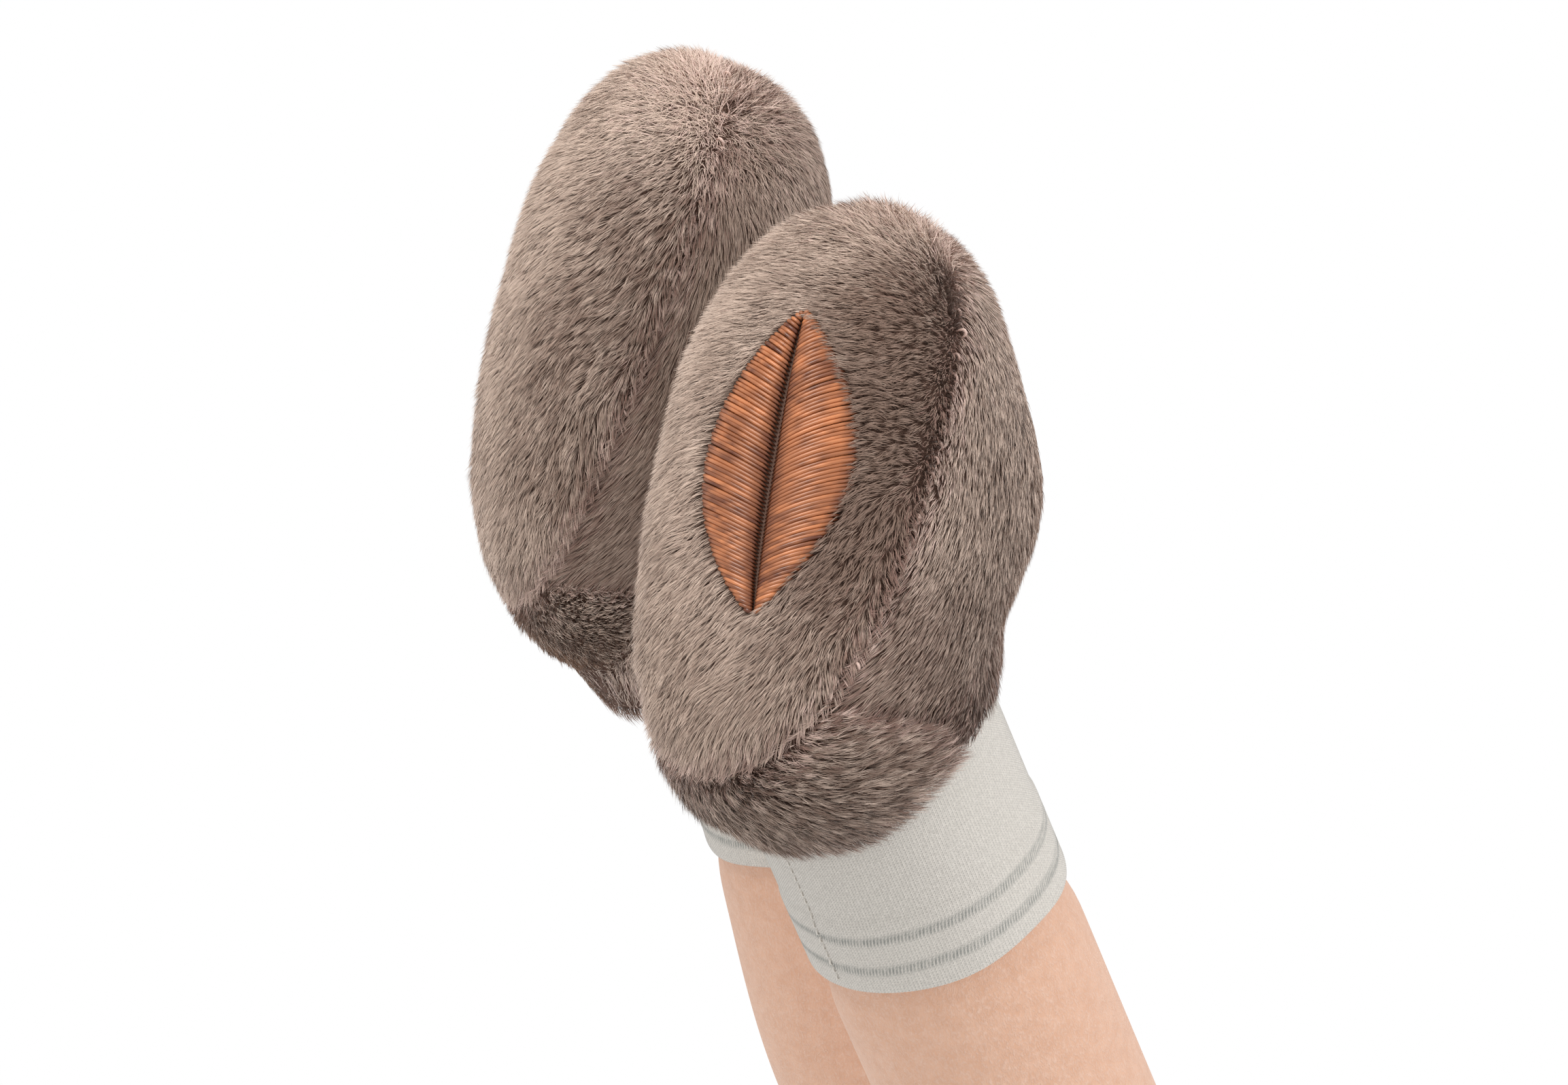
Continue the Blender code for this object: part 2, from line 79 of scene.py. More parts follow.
# Each foot: the side it is on, the slipper's turn, drop and roll in degrees, how far the cuff reaches over
# the ankle, between which heights it bends, how far the leg sags, how far the opening is drawn up at the heel
# and before the ankle, how much the toe's pile is fluffed, how much painted shade darkens the parted pile of
# the sole, the seed of its random numbers, the places where the stuffing presses the slipper out (middle,
# reach and rise), and where its pile differs from NAP.
FEET = {
    "left": {
        "side": 1, "turn": -43.0, "drop": 33.6, "roll": 1.7, "reach": 0.045, "bend": (0.036, 0.012),
        "sag": 0.0, "collar": (0.05, 0.70), "fluff": 1.0, "parted_with_painted_shade": 0.50, "seed": 11,
        "fuller": [((-0.022, 0.028, 0.005), 0.016, 0.0042)],
        "nap": {},
    },
    "right": {
        "side": -1, "turn": -5.5, "drop": 53.0, "roll": -3.0, "reach": 0.064, "bend": (0.046, 0.012),
        "sag": 0.0038, "collar": (0.60, 0.60), "fluff": 0.2, "parted_with_painted_shade": 0.28, "seed": 23,
        "fuller": [
            ((-0.0006, 0.0637, 0.0010), 0.013, -0.0012),
            ((-0.005, -0.024, -0.002), 0.012, 0.0018),
            ((0.0, -0.0270, -0.0085), 0.010, 0.0022),
        ],
        "nap": {
            "sole": {"falls": (0.19, -0.98, 0.0), "swing": (0.05, -0.35), "shade": 0.62},
            # The right heel's lighter shade and paler roots are painted light, lifting it where the lamps
            # leave it in shade.
            "heel": {"shade": 0.72, "long": 1.0, "pale": 0.30},
        },
    },
}


def unit(vectors):
    """Vectors divided by their lengths."""
    vectors = np.asarray(vectors, float)
    return vectors / np.maximum(np.linalg.norm(vectors, axis=-1, keepdims=True), 1e-12)


# The planes of the seams in the foot's frame: a point and the way that counts as above or before
SOLE_SEAM = (MIDDLE + (0.0, 0.0, -0.0070), unit((-0.20, -0.15, 1.0)))
HEEL_SEAM = (MIDDLE + (0.0, -0.0317, 0.0), unit((0.0, 1.0, -0.195)))
SEAM_CLEAR = 0.00005
SEAM_DEPTH, SEAM_SPREAD = 0.0007, 0.0022
RIM_SNAP, RIM_FADE = 0.0026, 0.0030

# How the pile of each plush panel lies: where the cut panel faces and which way its pile falls in the foot's
# frame, how far the fall swings to the slipper's side and to its toe in radians, how much it turns to a seam
# close by, the degrees that a strand leans from the cloth at its root and tip, the share of random straying,
# its share of the full length, the size and pull of its tufts, how much longer and more upright it is at the
# toe, its shade from dark to light, how far that darkens towards the heel, how far the tufts vary from it,
# and how far along its colours a strand starts at the root, which lessens the painted shade of its root. The
# facing of the panels is turned over on the right foot.
NAP = {
    "sole": {
        "faces": (0.0, 0.0, -1.0), "falls": (0.75, -0.66, 0.0), "swing": (-0.10, -0.50), "turn": 0.7,
        "lean": (52, 8), "stray": 1.0, "long": 1.0, "tuft": 0.0009, "pull": 0.50, "toe": (0.30, 0.30),
        "shade": 0.45, "fade": 0.0, "vary": 0.30, "pale": 0.30,
    },
    "outer_side": {
        "faces": (-1.0, 0.0, 0.25), "falls": (0.0, -0.98, -0.21), "swing": (0.0, 0.60), "turn": 0.3,
        "lean": (26, 2), "stray": 0.45, "long": 1.0, "tuft": 0.0008, "pull": 0.40, "toe": (-0.10, 0.80),
        "shade": 0.50, "fade": 0.34, "vary": 0.26, "pale": 0.20,
    },
    "heel": {
        "faces": (0.0, -1.0, 0.20), "falls": (-0.88, 0.0, 0.38), "swing": (0.0, 0.0), "turn": 0.4,
        "lean": (60, 10), "stray": 1.0, "long": 1.2, "tuft": 0.0011, "pull": 0.90, "toe": (-0.10, 0.80),
        "shade": 0.27, "fade": 0.0, "vary": 0.85, "pale": 0.0,
    },
}
NAP["inner_side"] = NAP["outer_side"] | {"faces": (1.0, 0.0, 0.25), "shade": 0.28, "fade": 0.10}

# Where the opening's cloth is drawn up, the size of the toe's brushed tuft and of the larger lumps of pile,
# the step that slopes are taken over, and how far the slipper's ground lies under its plain form
COLLAR_START, COLLAR_NEAR, COLLAR_FADE = 0.006, 0.0225, 0.0045
COLLAR_HEEL, COLLAR_TURN = 0.0195, 0.020
TOE_TUFT, LUMP = 0.013, 0.0017
SLOPE_STEP = 2e-5
CLOTH_UNDER = 0.0002

# The tones of a strand's map: plain ones up to the full one, and the seams' ones past the split
TONE_LEAST, TONE_MOST, TONE_FULL, SEAM_SPLIT, SEAM_FROM = 0.02, 0.74, 0.76, 0.78, 0.80
STRAND_COLOURS = ("Root", "Dark", "Light", "Seam Dark", "Seam Light")


def linear(red, green, blue):
    """A colour written in 0 to 255 as it should look, in the renderer's linear light."""
    share = np.array((red, green, blue)) / 255
    return tuple(np.where(share <= 0.04045, share / 12.92, ((share + 0.055) / 1.055) ** 2.4))


def colour(label, about, red, green, blue):
    """A colour property."""
    return FloatVectorProperty(
        name=label, description=about, subtype="COLOR", size=3, min=0.0, max=1.0,
        default=linear(red, green, blue),
    )


def length(label, about, metres):
    """A length property."""
    return FloatProperty(
        name=label, description=about, default=metres, min=0.0, subtype="DISTANCE", unit="LENGTH", precision=5
    )


def number(label, about, value, most):
    """A plain number property."""
    return FloatProperty(name=label, description=about, default=value, min=0.0, max=most)


class PileLook(bpy.types.PropertyGroup):
    """The plush pile of the slippers."""

    # The root colour is partly the pile's own darker ground and partly painted shade deep in the pile between
    # the strands.
    root: colour("Root", "Colour deep in the pile", 86, 62, 50)
    dark: colour("Dark tips", "Colour of the darkest strands' tips", 138, 113, 99)
    light: colour("Light tips", "Colour of the lightest strands' tips", 214, 191, 175)
    seam_dark: colour("Seam roots", "Darker colour of the strands along the seams", 142, 109, 97)
    seam_light: colour("Seam tips", "Lighter colour of the strands along the seams", 226, 198, 186)
    long: length("Length", "Length of a strand", 0.0030)
    thick: length("Width", "Width of a strand at its root", 0.00012)
    per_mm2: number("Strands", "Strands on a square millimetre of cloth", 12.5, 16.0)


class VelourLook(bpy.types.PropertyGroup):
    """The brushed fabric of the legs and the hem band."""

    light: colour("Light", "Colour where the nap catches light", 222, 178, 152)
    dark: colour("Dark", "Colour where the nap turns away", 214, 168, 141)


class KnitLook(bpy.types.PropertyGroup):
    """The fine knit of the cuffs."""

    yarn: colour("Yarn", "Main yarn", 223, 217, 209)
    stripe: colour("Stripe", "Yarn of the two stripes", 150, 150, 145)
    wale: length("Wale", "Width of one wale", 0.00055)
    upper: length("Far stripe", "From the hem edge down to the far stripe", 0.0100)
    lower: length("Near stripe", "From the hem edge down to the near stripe", 0.0045)
    stripe_width: length("Stripe width", "Width of each stripe", 0.0021)


class LeafLook(bpy.types.PropertyGroup):
    """The satin-stitched leaf."""

    # The dark copper is also the threads' painted shade where they dive into the cloth, and the light copper
    # is partly painted highlight on their tops.
    dark: colour("Dark copper", "Thread where it dives into the cloth", 84, 38, 20)
    light: colour("Light copper", "Thread where it lies on top", 200, 126, 80)
    thread: length("Thread", "Width of a pair of embroidery threads", 0.00062)
    rise: length("Rise", "Height of the padded stitches over the sole", 0.0016)


class StudioLook(bpy.types.PropertyGroup):
    """Camera and light."""

    distance: length("Distance", "From the camera to the left ankle", 0.8515)
    key: number("Key", "Power of the main lamp in watts", 6.5, 100.0)
    fill: number("Fill", "Power of the side lamp in watts", 2.8, 100.0)
    ambient: number("Ambient", "Strength of the light from all round", 0.95, 5.0)
    floor: colour("Floor", "Colour of the floor", 236, 236, 234)


class PuppetLegs(bpy.types.PropertyGroup):
    """All that a user would change."""

    pile: PointerProperty(type=PileLook)
    velour: PointerProperty(type=VelourLook)
    knit: PointerProperty(type=KnitLook)
    leaf: PointerProperty(type=LeafLook)
    studio: PointerProperty(type=StudioLook)


# Arrays and meshes
def ease(share):
    """Goes smoothly from 0 to 1: three squares less two cubes of the share."""
    share = np.clip(share, 0.0, 1.0)
    return share * share * (3 - 2 * share)


def bell(distance, width):
    """A bell curve: e to minus the square of the distance over the width, which is 1 at no distance."""
    return np.exp(-((distance / width) ** 2))


def scatter(cells, seed):
    """A number from 0 to 1 for each whole-number cell, by multiplying and shifting its bits."""
    with np.errstate(over="ignore"):
        mixed = np.full(cells.shape[:-1], seed, np.uint64) * np.uint64(0x9E3779B97F4A7C15)
        for axis, factor in enumerate((0xC2B2AE3D27D4EB4F, 0x165667B19E3779F9, 0xD6E8FEB86659FD93)):
            mixed = (mixed ^ cells[..., axis].astype(np.int64).astype(np.uint64)) * np.uint64(factor)
            mixed ^= mixed >> np.uint64(29)
        mixed = mixed * np.uint64(0xBF58476D1CE4E5B9)
        mixed ^= mixed >> np.uint64(32)
    return (mixed >> np.uint64(11)) / float(1 << 53)


CORNERS = np.stack(np.meshgrid((0, 1), (0, 1), (0, 1), indexing="ij"), -1).reshape(-1, 3)
NEIGHBOURS = np.stack(np.meshgrid((-1, 0, 1), (-1, 0, 1), (-1, 0, 1), indexing="ij"), -1).reshape(-1, 3)


def patches(points, size, seed):
    """Soft blotches from 0 to 1: a random value at each corner of cubes, eased across each cube."""
    place = points / size
    cell = np.floor(place)
    part = ease(place - cell)
    total = np.zeros(points.shape[:-1])
    for corner in CORNERS:
        share = np.prod(np.where(corner == 1, part, 1 - part), axis=-1)
        total += share * scatter(cell + corner, seed)
    return total


def sway(points, size, seed, amount):
    """Soft random values about 0: blotches of a size, by an amount."""
    return (patches(points, size, seed) - 0.5) * amount


def tufts(points, size, seed):
    """For each point the nearest of one random spot per cube, and that spot's own random number."""
    place = points / size
    cell = np.floor(place)
    best = np.full(len(points), np.inf)
    spot, own = np.zeros_like(points), np.zeros(len(points))
    for step in NEIGHBOURS:
        here = cell + step
        offer = here + np.stack([scatter(here, seed + k) for k in (1, 2, 3)], -1)
        far = ((offer - place) ** 2).sum(-1)
        nearer = far < best
        best = np.where(nearer, far, best)
        spot = np.where(nearer[:, None], offer * size, spot)
        own = np.where(nearer, scatter(here, seed + 4), own)
    return spot, own


def grid_quads(rows, columns, start=0):
    """Corners of the quads of a grid that is closed round its columns. They face out where the rows
    go against the turn of the columns."""
    row, column = np.meshgrid(np.arange(rows - 1), np.arange(columns), indexing="ij")
    after, here = (column + 1) % columns, row * columns
    below = here + columns
    return start + np.stack((here + column, below + column, below + after, here + after), -1).reshape(-1, 4)


def cap(ring, tip, flip):
    """Triangles from each step of a ring to a tip point."""
    after = np.roll(ring, -1)
    fan = np.stack((np.full_like(ring, tip), ring, after), -1)
    return fan[:, ::-1] if flip else fan


def mesh_object(name, points, faces, finish, maps=None, normals=None):
    """An object at the origin from arrays: points, a list of face arrays, and UV maps given per point."""
    mesh = bpy.data.meshes.new(name)
    corners = np.concatenate([part.ravel() for part in faces]).astype(np.int32)
    sizes = np.concatenate([np.full(len(part), part.shape[1]) for part in faces])
    mesh.vertices.add(len(points))
    mesh.vertices.foreach_set("co", np.asarray(points, np.float32).ravel())
    mesh.loops.add(len(corners))
    mesh.loops.foreach_set("vertex_index", corners)
    mesh.polygons.add(len(sizes))
    mesh.polygons.foreach_set("loop_start", (np.cumsum(sizes) - sizes).astype(np.int32))
    mesh.update(calc_edges=True)
    for label, places in (maps or {}).items():
        layer = mesh.uv_layers.new(name=label)
        layer.uv.foreach_set("vector", np.asarray(places, np.float32)[corners].ravel())
    mesh.materials.append(finish)
    mesh.shade_smooth()
    if normals is not None:
        mesh.normals_split_custom_set_from_vertices(np.asarray(normals, np.float32))
    made = bpy.data.objects.new(name, mesh)
    bpy.context.scene.collection.objects.link(made)
    return made


def soften(piece):
    """One level of subdivision, the same in the render."""
    smooth = piece.modifiers.new("smooth", "SUBSURF")
    smooth.levels = smooth.render_levels = 1


THREAD_SIDES, THREAD_ROUNDNESS, THREAD_LEAST = 6, 6, 0.04
TONE_EDGE, TONE_ROUND = 0.02, 0.01


def threads(name, paths, up, radius, tones, finish):
    """Tubes of a round profile carried along paths: at each point a ring of THREAD_SIDES points round
    the path, drawn in to the ends. The map holds each thread's tone, and the share from its ends to its
    middle, by which the thread is painted darker at both ends: painted shade where it dives into the cloth."""
    count, steps, _ = paths.shape
    along = unit(np.gradient(paths, axis=1))
    side = unit(np.cross(along, up))
    rise = np.cross(side, along)
    share = np.linspace(0, 1, steps)
    round_ends = np.sqrt(np.clip(1 - np.abs(2 * share - 1) ** THREAD_ROUNDNESS, THREAD_LEAST, 1))
    turn = np.arange(THREAD_SIDES) / THREAD_SIDES * 2 * np.pi
    ring = side[:, :, None] * np.cos(turn)[:, None] + rise[:, :, None] * np.sin(turn)[:, None]
    wide = np.reshape(radius, (-1, 1)) * round_ends
    points = paths[:, :, None] + ring * wide[:, :, None, None]
    first = np.arange(count)[:, None, None] * steps * THREAD_SIDES
    quads = (first + grid_quads(steps, THREAD_SIDES)).reshape(-1, 4)
    ends = first[:, 0] + np.arange(THREAD_SIDES)
    far = ends + (steps - 1) * THREAD_SIDES
    tone = np.broadcast_to(np.reshape(tones, (count, -1, 1)), points.shape[:3])
    tone = TONE_EDGE + (1 - 2 * TONE_EDGE) * tone + np.cos(turn) * TONE_ROUND
    middle = 1 - np.abs(2 * share - 1)
    places = np.stack((tone, np.broadcast_to(middle[:, None], points.shape[:3])), -1)
    return mesh_object(
        name, points.reshape(-1, 3), [quads, ends, far[:, ::-1]], finish, {"OFBake": places.reshape(-1, 2)}
    )


STITCH_STEPS, STITCH_FLATNESS = 9, 4


def stitches(start, end, out, lift, dip):
    """Paths of stitches from start to end points: straight over the cloth, and down into it at both ends
    by a power of the share from the middle."""
    share = np.linspace(0, 1, STITCH_STEPS)
    lift = np.reshape(lift, (-1, 1))
    arch = lift - (lift + dip) * np.abs(2 * share - 1) ** STITCH_FLATNESS
    flat = start[:, None] + (end - start)[:, None] * share[:, None]
    return flat + out[:, None] * arch[..., None]


# The foot's frame: X across, Y to the toe, Z to the instep, from the ankle
def foot_axes(foot):
    """Columns of the foot's axes: turned about the leg, toes dropped, then rolled."""
    turned = Matrix.Rotation(math.radians(foot["turn"] + 180), 3, "Z")
    dropped = Matrix.Rotation(math.radians(-foot["drop"]), 3, "X")
    rolled = Matrix.Rotation(math.radians(foot["roll"]), 3, "Y")
    return np.array(turned @ dropped @ rolled)


def hip_x(foot):
    """How far across a foot's hip and ankle lie."""
    return foot["side"] * HIP_SPACING / 2


def ankle_of(foot):
    """The ankle's place."""
    return np.array((hip_x(foot), 0.0, HIP_Z - LEG_LENGTH))


def placed(points, foot):
    """Points of the foot's frame in the object's frame."""
    return ankle_of(foot) + points @ foot_axes(foot).T


def fullness(points):
    """1 on the slipper, less inside: the across and up shares of the tapered section to the power of
    its roundness, and that with the share along to the power of its fullness."""
    inner = points - MIDDLE
    along = inner[..., 1] / (SLIPPER_LENGTH / 2)
    across = np.abs(inner[..., 0]) / (SLIPPER_WIDTH / 2 * (1 - TOE_TAPER * along))
    up = np.abs(inner[..., 2]) / (SLIPPER_HEIGHT / 2 * (1 - TOE_TAPER / 2 * along))
    section = (across**SLIPPER_ROUNDNESS + up**SLIPPER_ROUNDNESS) ** (SLIPPER_FULLNESS / SLIPPER_ROUNDNESS)
    return section + np.abs(along) ** SLIPPER_FULLNESS


def onto_slipper(points):
    """Points drawn along the line from the slipper's middle until they lie on its surface."""
    for _ in range(3):
        points = MIDDLE + (points - MIDDLE) * fullness(points)[..., None] ** (-1 / SLIPPER_FULLNESS)
    return points


def slope(measure, points):
    """How a measure changes at points: its differences over small steps along each axis."""
    steps = SLOPE_STEP * np.eye(3)
    return np.stack([measure(points + step) - measure(points - step) for step in steps], -1)


def outward(points):
    """The slipper's outward direction: the slope of its fullness."""
    return unit(slope(fullness, points))


def slipper_grid(rings, sides):
    """Rings of points from heel to toe, closer together at both ends, each ring a rounded section."""
    along = -np.cos(np.linspace(0, np.pi, rings + 2))[1:-1]
    turn = np.arange(sides) / sides * 2 * np.pi
    section = np.stack((np.cos(turn), np.zeros(sides), np.sin(turn)), -1)
    section *= np.array((SLIPPER_WIDTH, 0, SLIPPER_HEIGHT)) / 2
    full = (1 - np.abs(along) ** SLIPPER_FULLNESS) ** (1 / SLIPPER_FULLNESS)
    points = MIDDLE + section * full[:, None, None]
    points[..., 1] += along[:, None] * SLIPPER_LENGTH / 2
    return onto_slipper(points)


def above(seam, points):
    """How far points lie above or before a seam's plane."""
    return (points - seam[0]) @ seam[1]


def seam_distance(points):
    """How far points lie from the nearest seam that runs there: the sole seam all round, and over it the
    heel seam and, before that, the instep seam."""
    sole, heel = above(SOLE_SEAM, points), above(HEEL_SEAM, points)
    upper = np.where(sole > 0, np.abs(heel), 1.0)
    instep = np.where((sole > 0) & (heel > 0), np.abs(points[..., 0]), 1.0)
    return np.minimum(np.minimum(np.abs(sole), upper), instep)


def sunk(points, foot):
    """How deep the cloth lies under the plain form: a bell curve of the distance from the nearest seam, less
    a bell curve round each place where the stuffing presses it out, which eases to nothing at the opening."""
    depth = SEAM_DEPTH * bell(seam_distance(points), SEAM_SPREAD)
    height, apart = from_leg(points, foot)
    free = np.where(height > 0, ease((apart - OPENING_RADIUS) / RIM_FADE), 1.0)
    for place, reach, rise in foot["fuller"]:
        depth = depth - rise * free * np.exp(-((points - place) ** 2).sum(-1) / reach**2)
    return depth


def leg_direction(foot):
    """The way up the leg, in the foot's frame."""
    return foot_axes(foot).T @ np.array((0.0, 0.0, 1.0))


def off_leg(points, foot):
    """Height up the leg, and the part of each point that lies off the leg's axis."""
    axis = leg_direction(foot)
    height = points @ axis
    return height, points - height[..., None] * axis


def from_leg(points, foot):
    """Height up the leg, and the distance from its axis."""
    height, off = off_leg(points, foot)
    return height, np.linalg.norm(off, axis=-1)


def clear_of_opening(points, foot, room=0.0):
    """Which points lie below the ankle, or outside the slipper's opening with some room."""
    height, apart = from_leg(points, foot)
    return (height < 0) | (apart > OPENING_RADIUS + room)


def drawn_up(points, foot):
    """The slipper's opening drawn up the leg: heights above the ankle stretched by a share that goes from one
    at the heel to another before the ankle, eases in over the first heights and fades away from the leg."""
    height, apart = from_leg(points, foot)
    close = 1 - ease((apart - COLLAR_NEAR) / COLLAR_FADE)
    aside = ease((points[..., 1] + COLLAR_HEEL) / COLLAR_TURN)
    heel, front = foot["collar"]
    share = heel + (front - heel) * aside
    extra = share * close * np.maximum(height, 0) * ease(height / COLLAR_START)
    return points + extra[..., None] * leg_direction(foot)


def leaf_edge(share):
    """Half width of the leaf at a share of its length: the vein's half and a bow on a rounded sine."""
    bow = np.sin(np.pi * np.clip(share, 0, 1)) ** LEAF_FULLNESS
    return LEAF_VEIN / 2 + (LEAF_WIDTH - LEAF_VEIN) / 2 * bow


def outside_leaf(points):
    """About how far points of the sole lie outside the leaf's outline, less than 0 inside it."""
    across = np.abs(points[..., 0] - MIDDLE[0] - LEAF_ASIDE)
    along = points[..., 1] - MIDDLE[1] - LEAF_AHEAD
    share = along / LEAF_LENGTH + 0.5
    past = np.maximum(np.abs(along) - LEAF_LENGTH / 2, 0)
    return np.where(past > 0, np.hypot(past, across), across - leaf_edge(share))


# Finishes
class Nodes:
    """Places and links the nodes of one tree."""

    def __init__(self, tree):
        self.tree = tree

    def add(self, kind, values=None, **settings):
        """A node with settings, and inputs given as values or as the sockets that feed them."""
        node = self.tree.nodes.new(kind)
        for label, value in settings.items():
            setattr(node, label, value)
        self.feed(node.inputs, values or {})
        return node

    def feed(self, inputs, values):
        """Inputs given values, or linked to the sockets that feed them."""
        for label, value in values.items():
            if isinstance(value, bpy.types.NodeSocket):
                self.tree.links.new(value, inputs[label])
            else:
                inputs[label].default_value = value

    def noise(self, where, scale, detail=3.0, stretch=None):
        """Noise from 0 to 1 on coordinates, stretched if asked."""
        if stretch is not None:
            where = self.add("ShaderNodeMapping", {"Vector": where, "Scale": stretch}).outputs[0]
        wanted = {"Vector": where, "Scale": scale, "Detail": detail, "Roughness": 0.55}
        return self.add("ShaderNodeTexNoise", wanted).outputs[0]

    def math(self, operation, first, second=0.0):
        """The result of a calculation with one or two values."""
        return self.add("ShaderNodeMath", {0: first, 1: second}, operation=operation).outputs[0]

    def apart(self, first, second):
        """How far two values lie apart."""
        return self.math("ABSOLUTE", self.math("SUBTRACT", first, second))

    def spread(self, value, low, high, to_low=0.0, to_high=1.0):
        """A value moved smoothly from one range to another."""
        wanted = {"Value": value, "From Min": low, "From Max": high, "To Min": to_low, "To Max": to_high}
        return self.add("ShaderNodeMapRange", wanted, interpolation_type="SMOOTHSTEP").outputs[0]

    def mix(self, share, first, second):
        """A mix of two colours."""
        node = self.add("ShaderNodeMix", data_type="RGBA")
        self.feed(node.inputs, {0: share, 6: first, 7: second})
        return node.outputs[2]


def opaque(rgb):
    """A colour with full alpha."""
    return (*rgb, 1.0)


def node_group(name, inputs, outputs):
    """A new shader group with its sockets, as (group, Nodes, input node, output node)."""
    group = bpy.data.node_groups.new(name, "ShaderNodeTree")
    for label, kind in inputs:
        group.interface.new_socket(name=label, in_out="INPUT", socket_type=kind)
    for label, kind in outputs:
        group.interface.new_socket(name=label, in_out="OUTPUT", socket_type=kind)
    nodes = Nodes(group)
    return group, nodes, nodes.add("NodeGroupInput"), nodes.add("NodeGroupOutput")


def strand_tone():
    """Group: the colour of a strand or thread from the tone and the share along it that its map holds.
    Plain tones go from dark to light, and those past the split go through the seam's colours. Up to Root
    Until the colour rises from Root, which is partly painted shade deep in the pile and painted shade where a
    thread dives into the cloth."""
    group = bpy.data.node_groups.get("strand_tone")
    if group:
        return group
    group, nodes, given, out = node_group(
        "strand_tone",
        [(label, "NodeSocketColor") for label in STRAND_COLOURS] + [("Root Until", "NodeSocketFloat")],
        [("Color", "NodeSocketColor"), ("Along", "NodeSocketFloat")],
    )
    place = nodes.add("ShaderNodeUVMap", uv_map="OFBake").outputs[0]
    parts = nodes.add("ShaderNodeSeparateXYZ", {0: place}).outputs
    tone, along = parts[0], parts[1]
    plain = nodes.mix(nodes.math("DIVIDE", tone, TONE_FULL), given.outputs["Dark"], given.outputs["Light"])
    seam_share = nodes.spread(tone, SEAM_FROM, 1.0)
    seam = nodes.mix(seam_share, given.outputs["Seam Dark"], given.outputs["Seam Light"])
    tip = nodes.mix(nodes.math("GREATER_THAN", tone, SEAM_SPLIT), plain, seam)
    wanted = {"Value": along, "From Min": 0.0, "From Max": given.outputs["Root Until"]}
    rise = nodes.add("ShaderNodeMapRange", wanted).outputs[0]
    colours = nodes.mix(rise, given.outputs["Root"], tip)
    nodes.feed(out.inputs, {"Color": colours, "Along": along})
    return group


def brushed_nap():
    """Group: fine crossing fibres and soft blotches over Object coordinates, each from 0 to 1, and the
    height of the fibres on a soft ground."""
    group = bpy.data.node_groups.get("brushed_nap")
    if group:
        return group
    outputs = [("Fibre", "NodeSocketFloat"), ("Blotch", "NodeSocketFloat"), ("Height", "NodeSocketFloat")]
    group, nodes, _, out = node_group("brushed_nap", [], outputs)
    where = nodes.add("ShaderNodeTexCoord").outputs["Object"]
    one = nodes.noise(where, 1.0, 2.0, (4200, 1900, 1300))
    other = nodes.noise(where, 1.0, 2.0, (1500, 3900, 2100))
    fibre = nodes.spread(nodes.math("MAXIMUM", one, other), 0.42, 0.78)
    blotch = nodes.spread(nodes.noise(where, 420.0, 4.0), 0.28, 0.72)
    soft = nodes.noise(where, 650.0, 3.0)
    height = nodes.math("ADD", nodes.math("MULTIPLY", fibre, 0.6), nodes.math("MULTIPLY", soft, 0.4))
    nodes.feed(out.inputs, {"Fibre": fibre, "Blotch": blotch, "Height": height})
    return group


def finish_of(name):
    """A new material, its Nodes and its Principled shader."""
    made = bpy.data.materials.new(name)
    made.use_nodes = True
    return made, Nodes(made.node_tree), made.node_tree.nodes["Principled BSDF"]


def bumped(nodes, shader, height, distance, strength):
    """Raises a shader's surface by a height from 0 to 1 over a distance in metres."""
    bump = nodes.add("ShaderNodeBump", {"Height": height, "Distance": distance, "Strength": strength})
    nodes.tree.links.new(bump.outputs[0], shader.inputs["Normal"])


ROOT_ROUGHER = 0.15


def strand_finish(name, colours, root_until, roughness, shine):
    """A finish of strands or threads: coloured by the strand tone group with painted shade at the root, and
    rougher at the root.
    """
    made = bpy.data.materials.get(name)
    if made:
        return made
    made, nodes, shader = finish_of(name)
    wanted = {label: opaque(rgb) for label, rgb in zip(STRAND_COLOURS, colours)}
    tone = nodes.add("ShaderNodeGroup", node_tree=strand_tone())
    nodes.feed(tone.inputs, wanted | {"Root Until": root_until})
    rough = nodes.spread(tone.outputs["Along"], 0.0, 1.0, roughness + ROOT_ROUGHER, roughness)
    nodes.feed(shader.inputs, {
        "Base Color": tone.outputs["Color"], "Roughness": rough, "Specular IOR Level": shine,
    })
    return made


def pile_finish(look):
    """Taupe plush strands: dark at the root, partly with painted shade deep in the pile, pinker along the
    seams, with a pale sheen at the edges.
    """
    colours = (look.root, look.dark, look.light, look.seam_dark, look.seam_light)
    made = strand_finish("taupe_pile", colours, 0.65, 0.55, 0.35)
    sheen = {"Sheen Weight": 0.30, "Sheen Roughness": 0.40, "Sheen Tint": opaque((1.0, 0.91, 0.87))}
    Nodes(made.node_tree).feed(made.node_tree.nodes["Principled BSDF"].inputs, sheen)
    return made


def two_tones(dark, light):
    """The strand tone group's five colours from two."""
    return dark, dark, light, light, light


def copper_finish(look):
    """Glossy copper embroidery thread."""
    return strand_finish("copper_satin", two_tones(look.dark, look.light), 0.45, 0.28, 0.55)


def pale_finish(look):
    """Matt pale sewing thread of the slippers."""
    return strand_finish("pale_sewing", two_tones(look.seam_dark, look.seam_light), 0.4, 0.6, 0.4)


def yarn_finish(look):
    """Sewing thread in the colours of the cuffs' yarn."""
    return strand_finish("yarn_sewing", two_tones(look.stripe, look.yarn), 0.15, 0.6, 0.4)


def peach_finish(look):
    """Sewing thread in the colour of the legs."""
    return strand_finish("peach_sewing", two_tones(look.dark, look.light), 0.4, 0.6, 0.4)


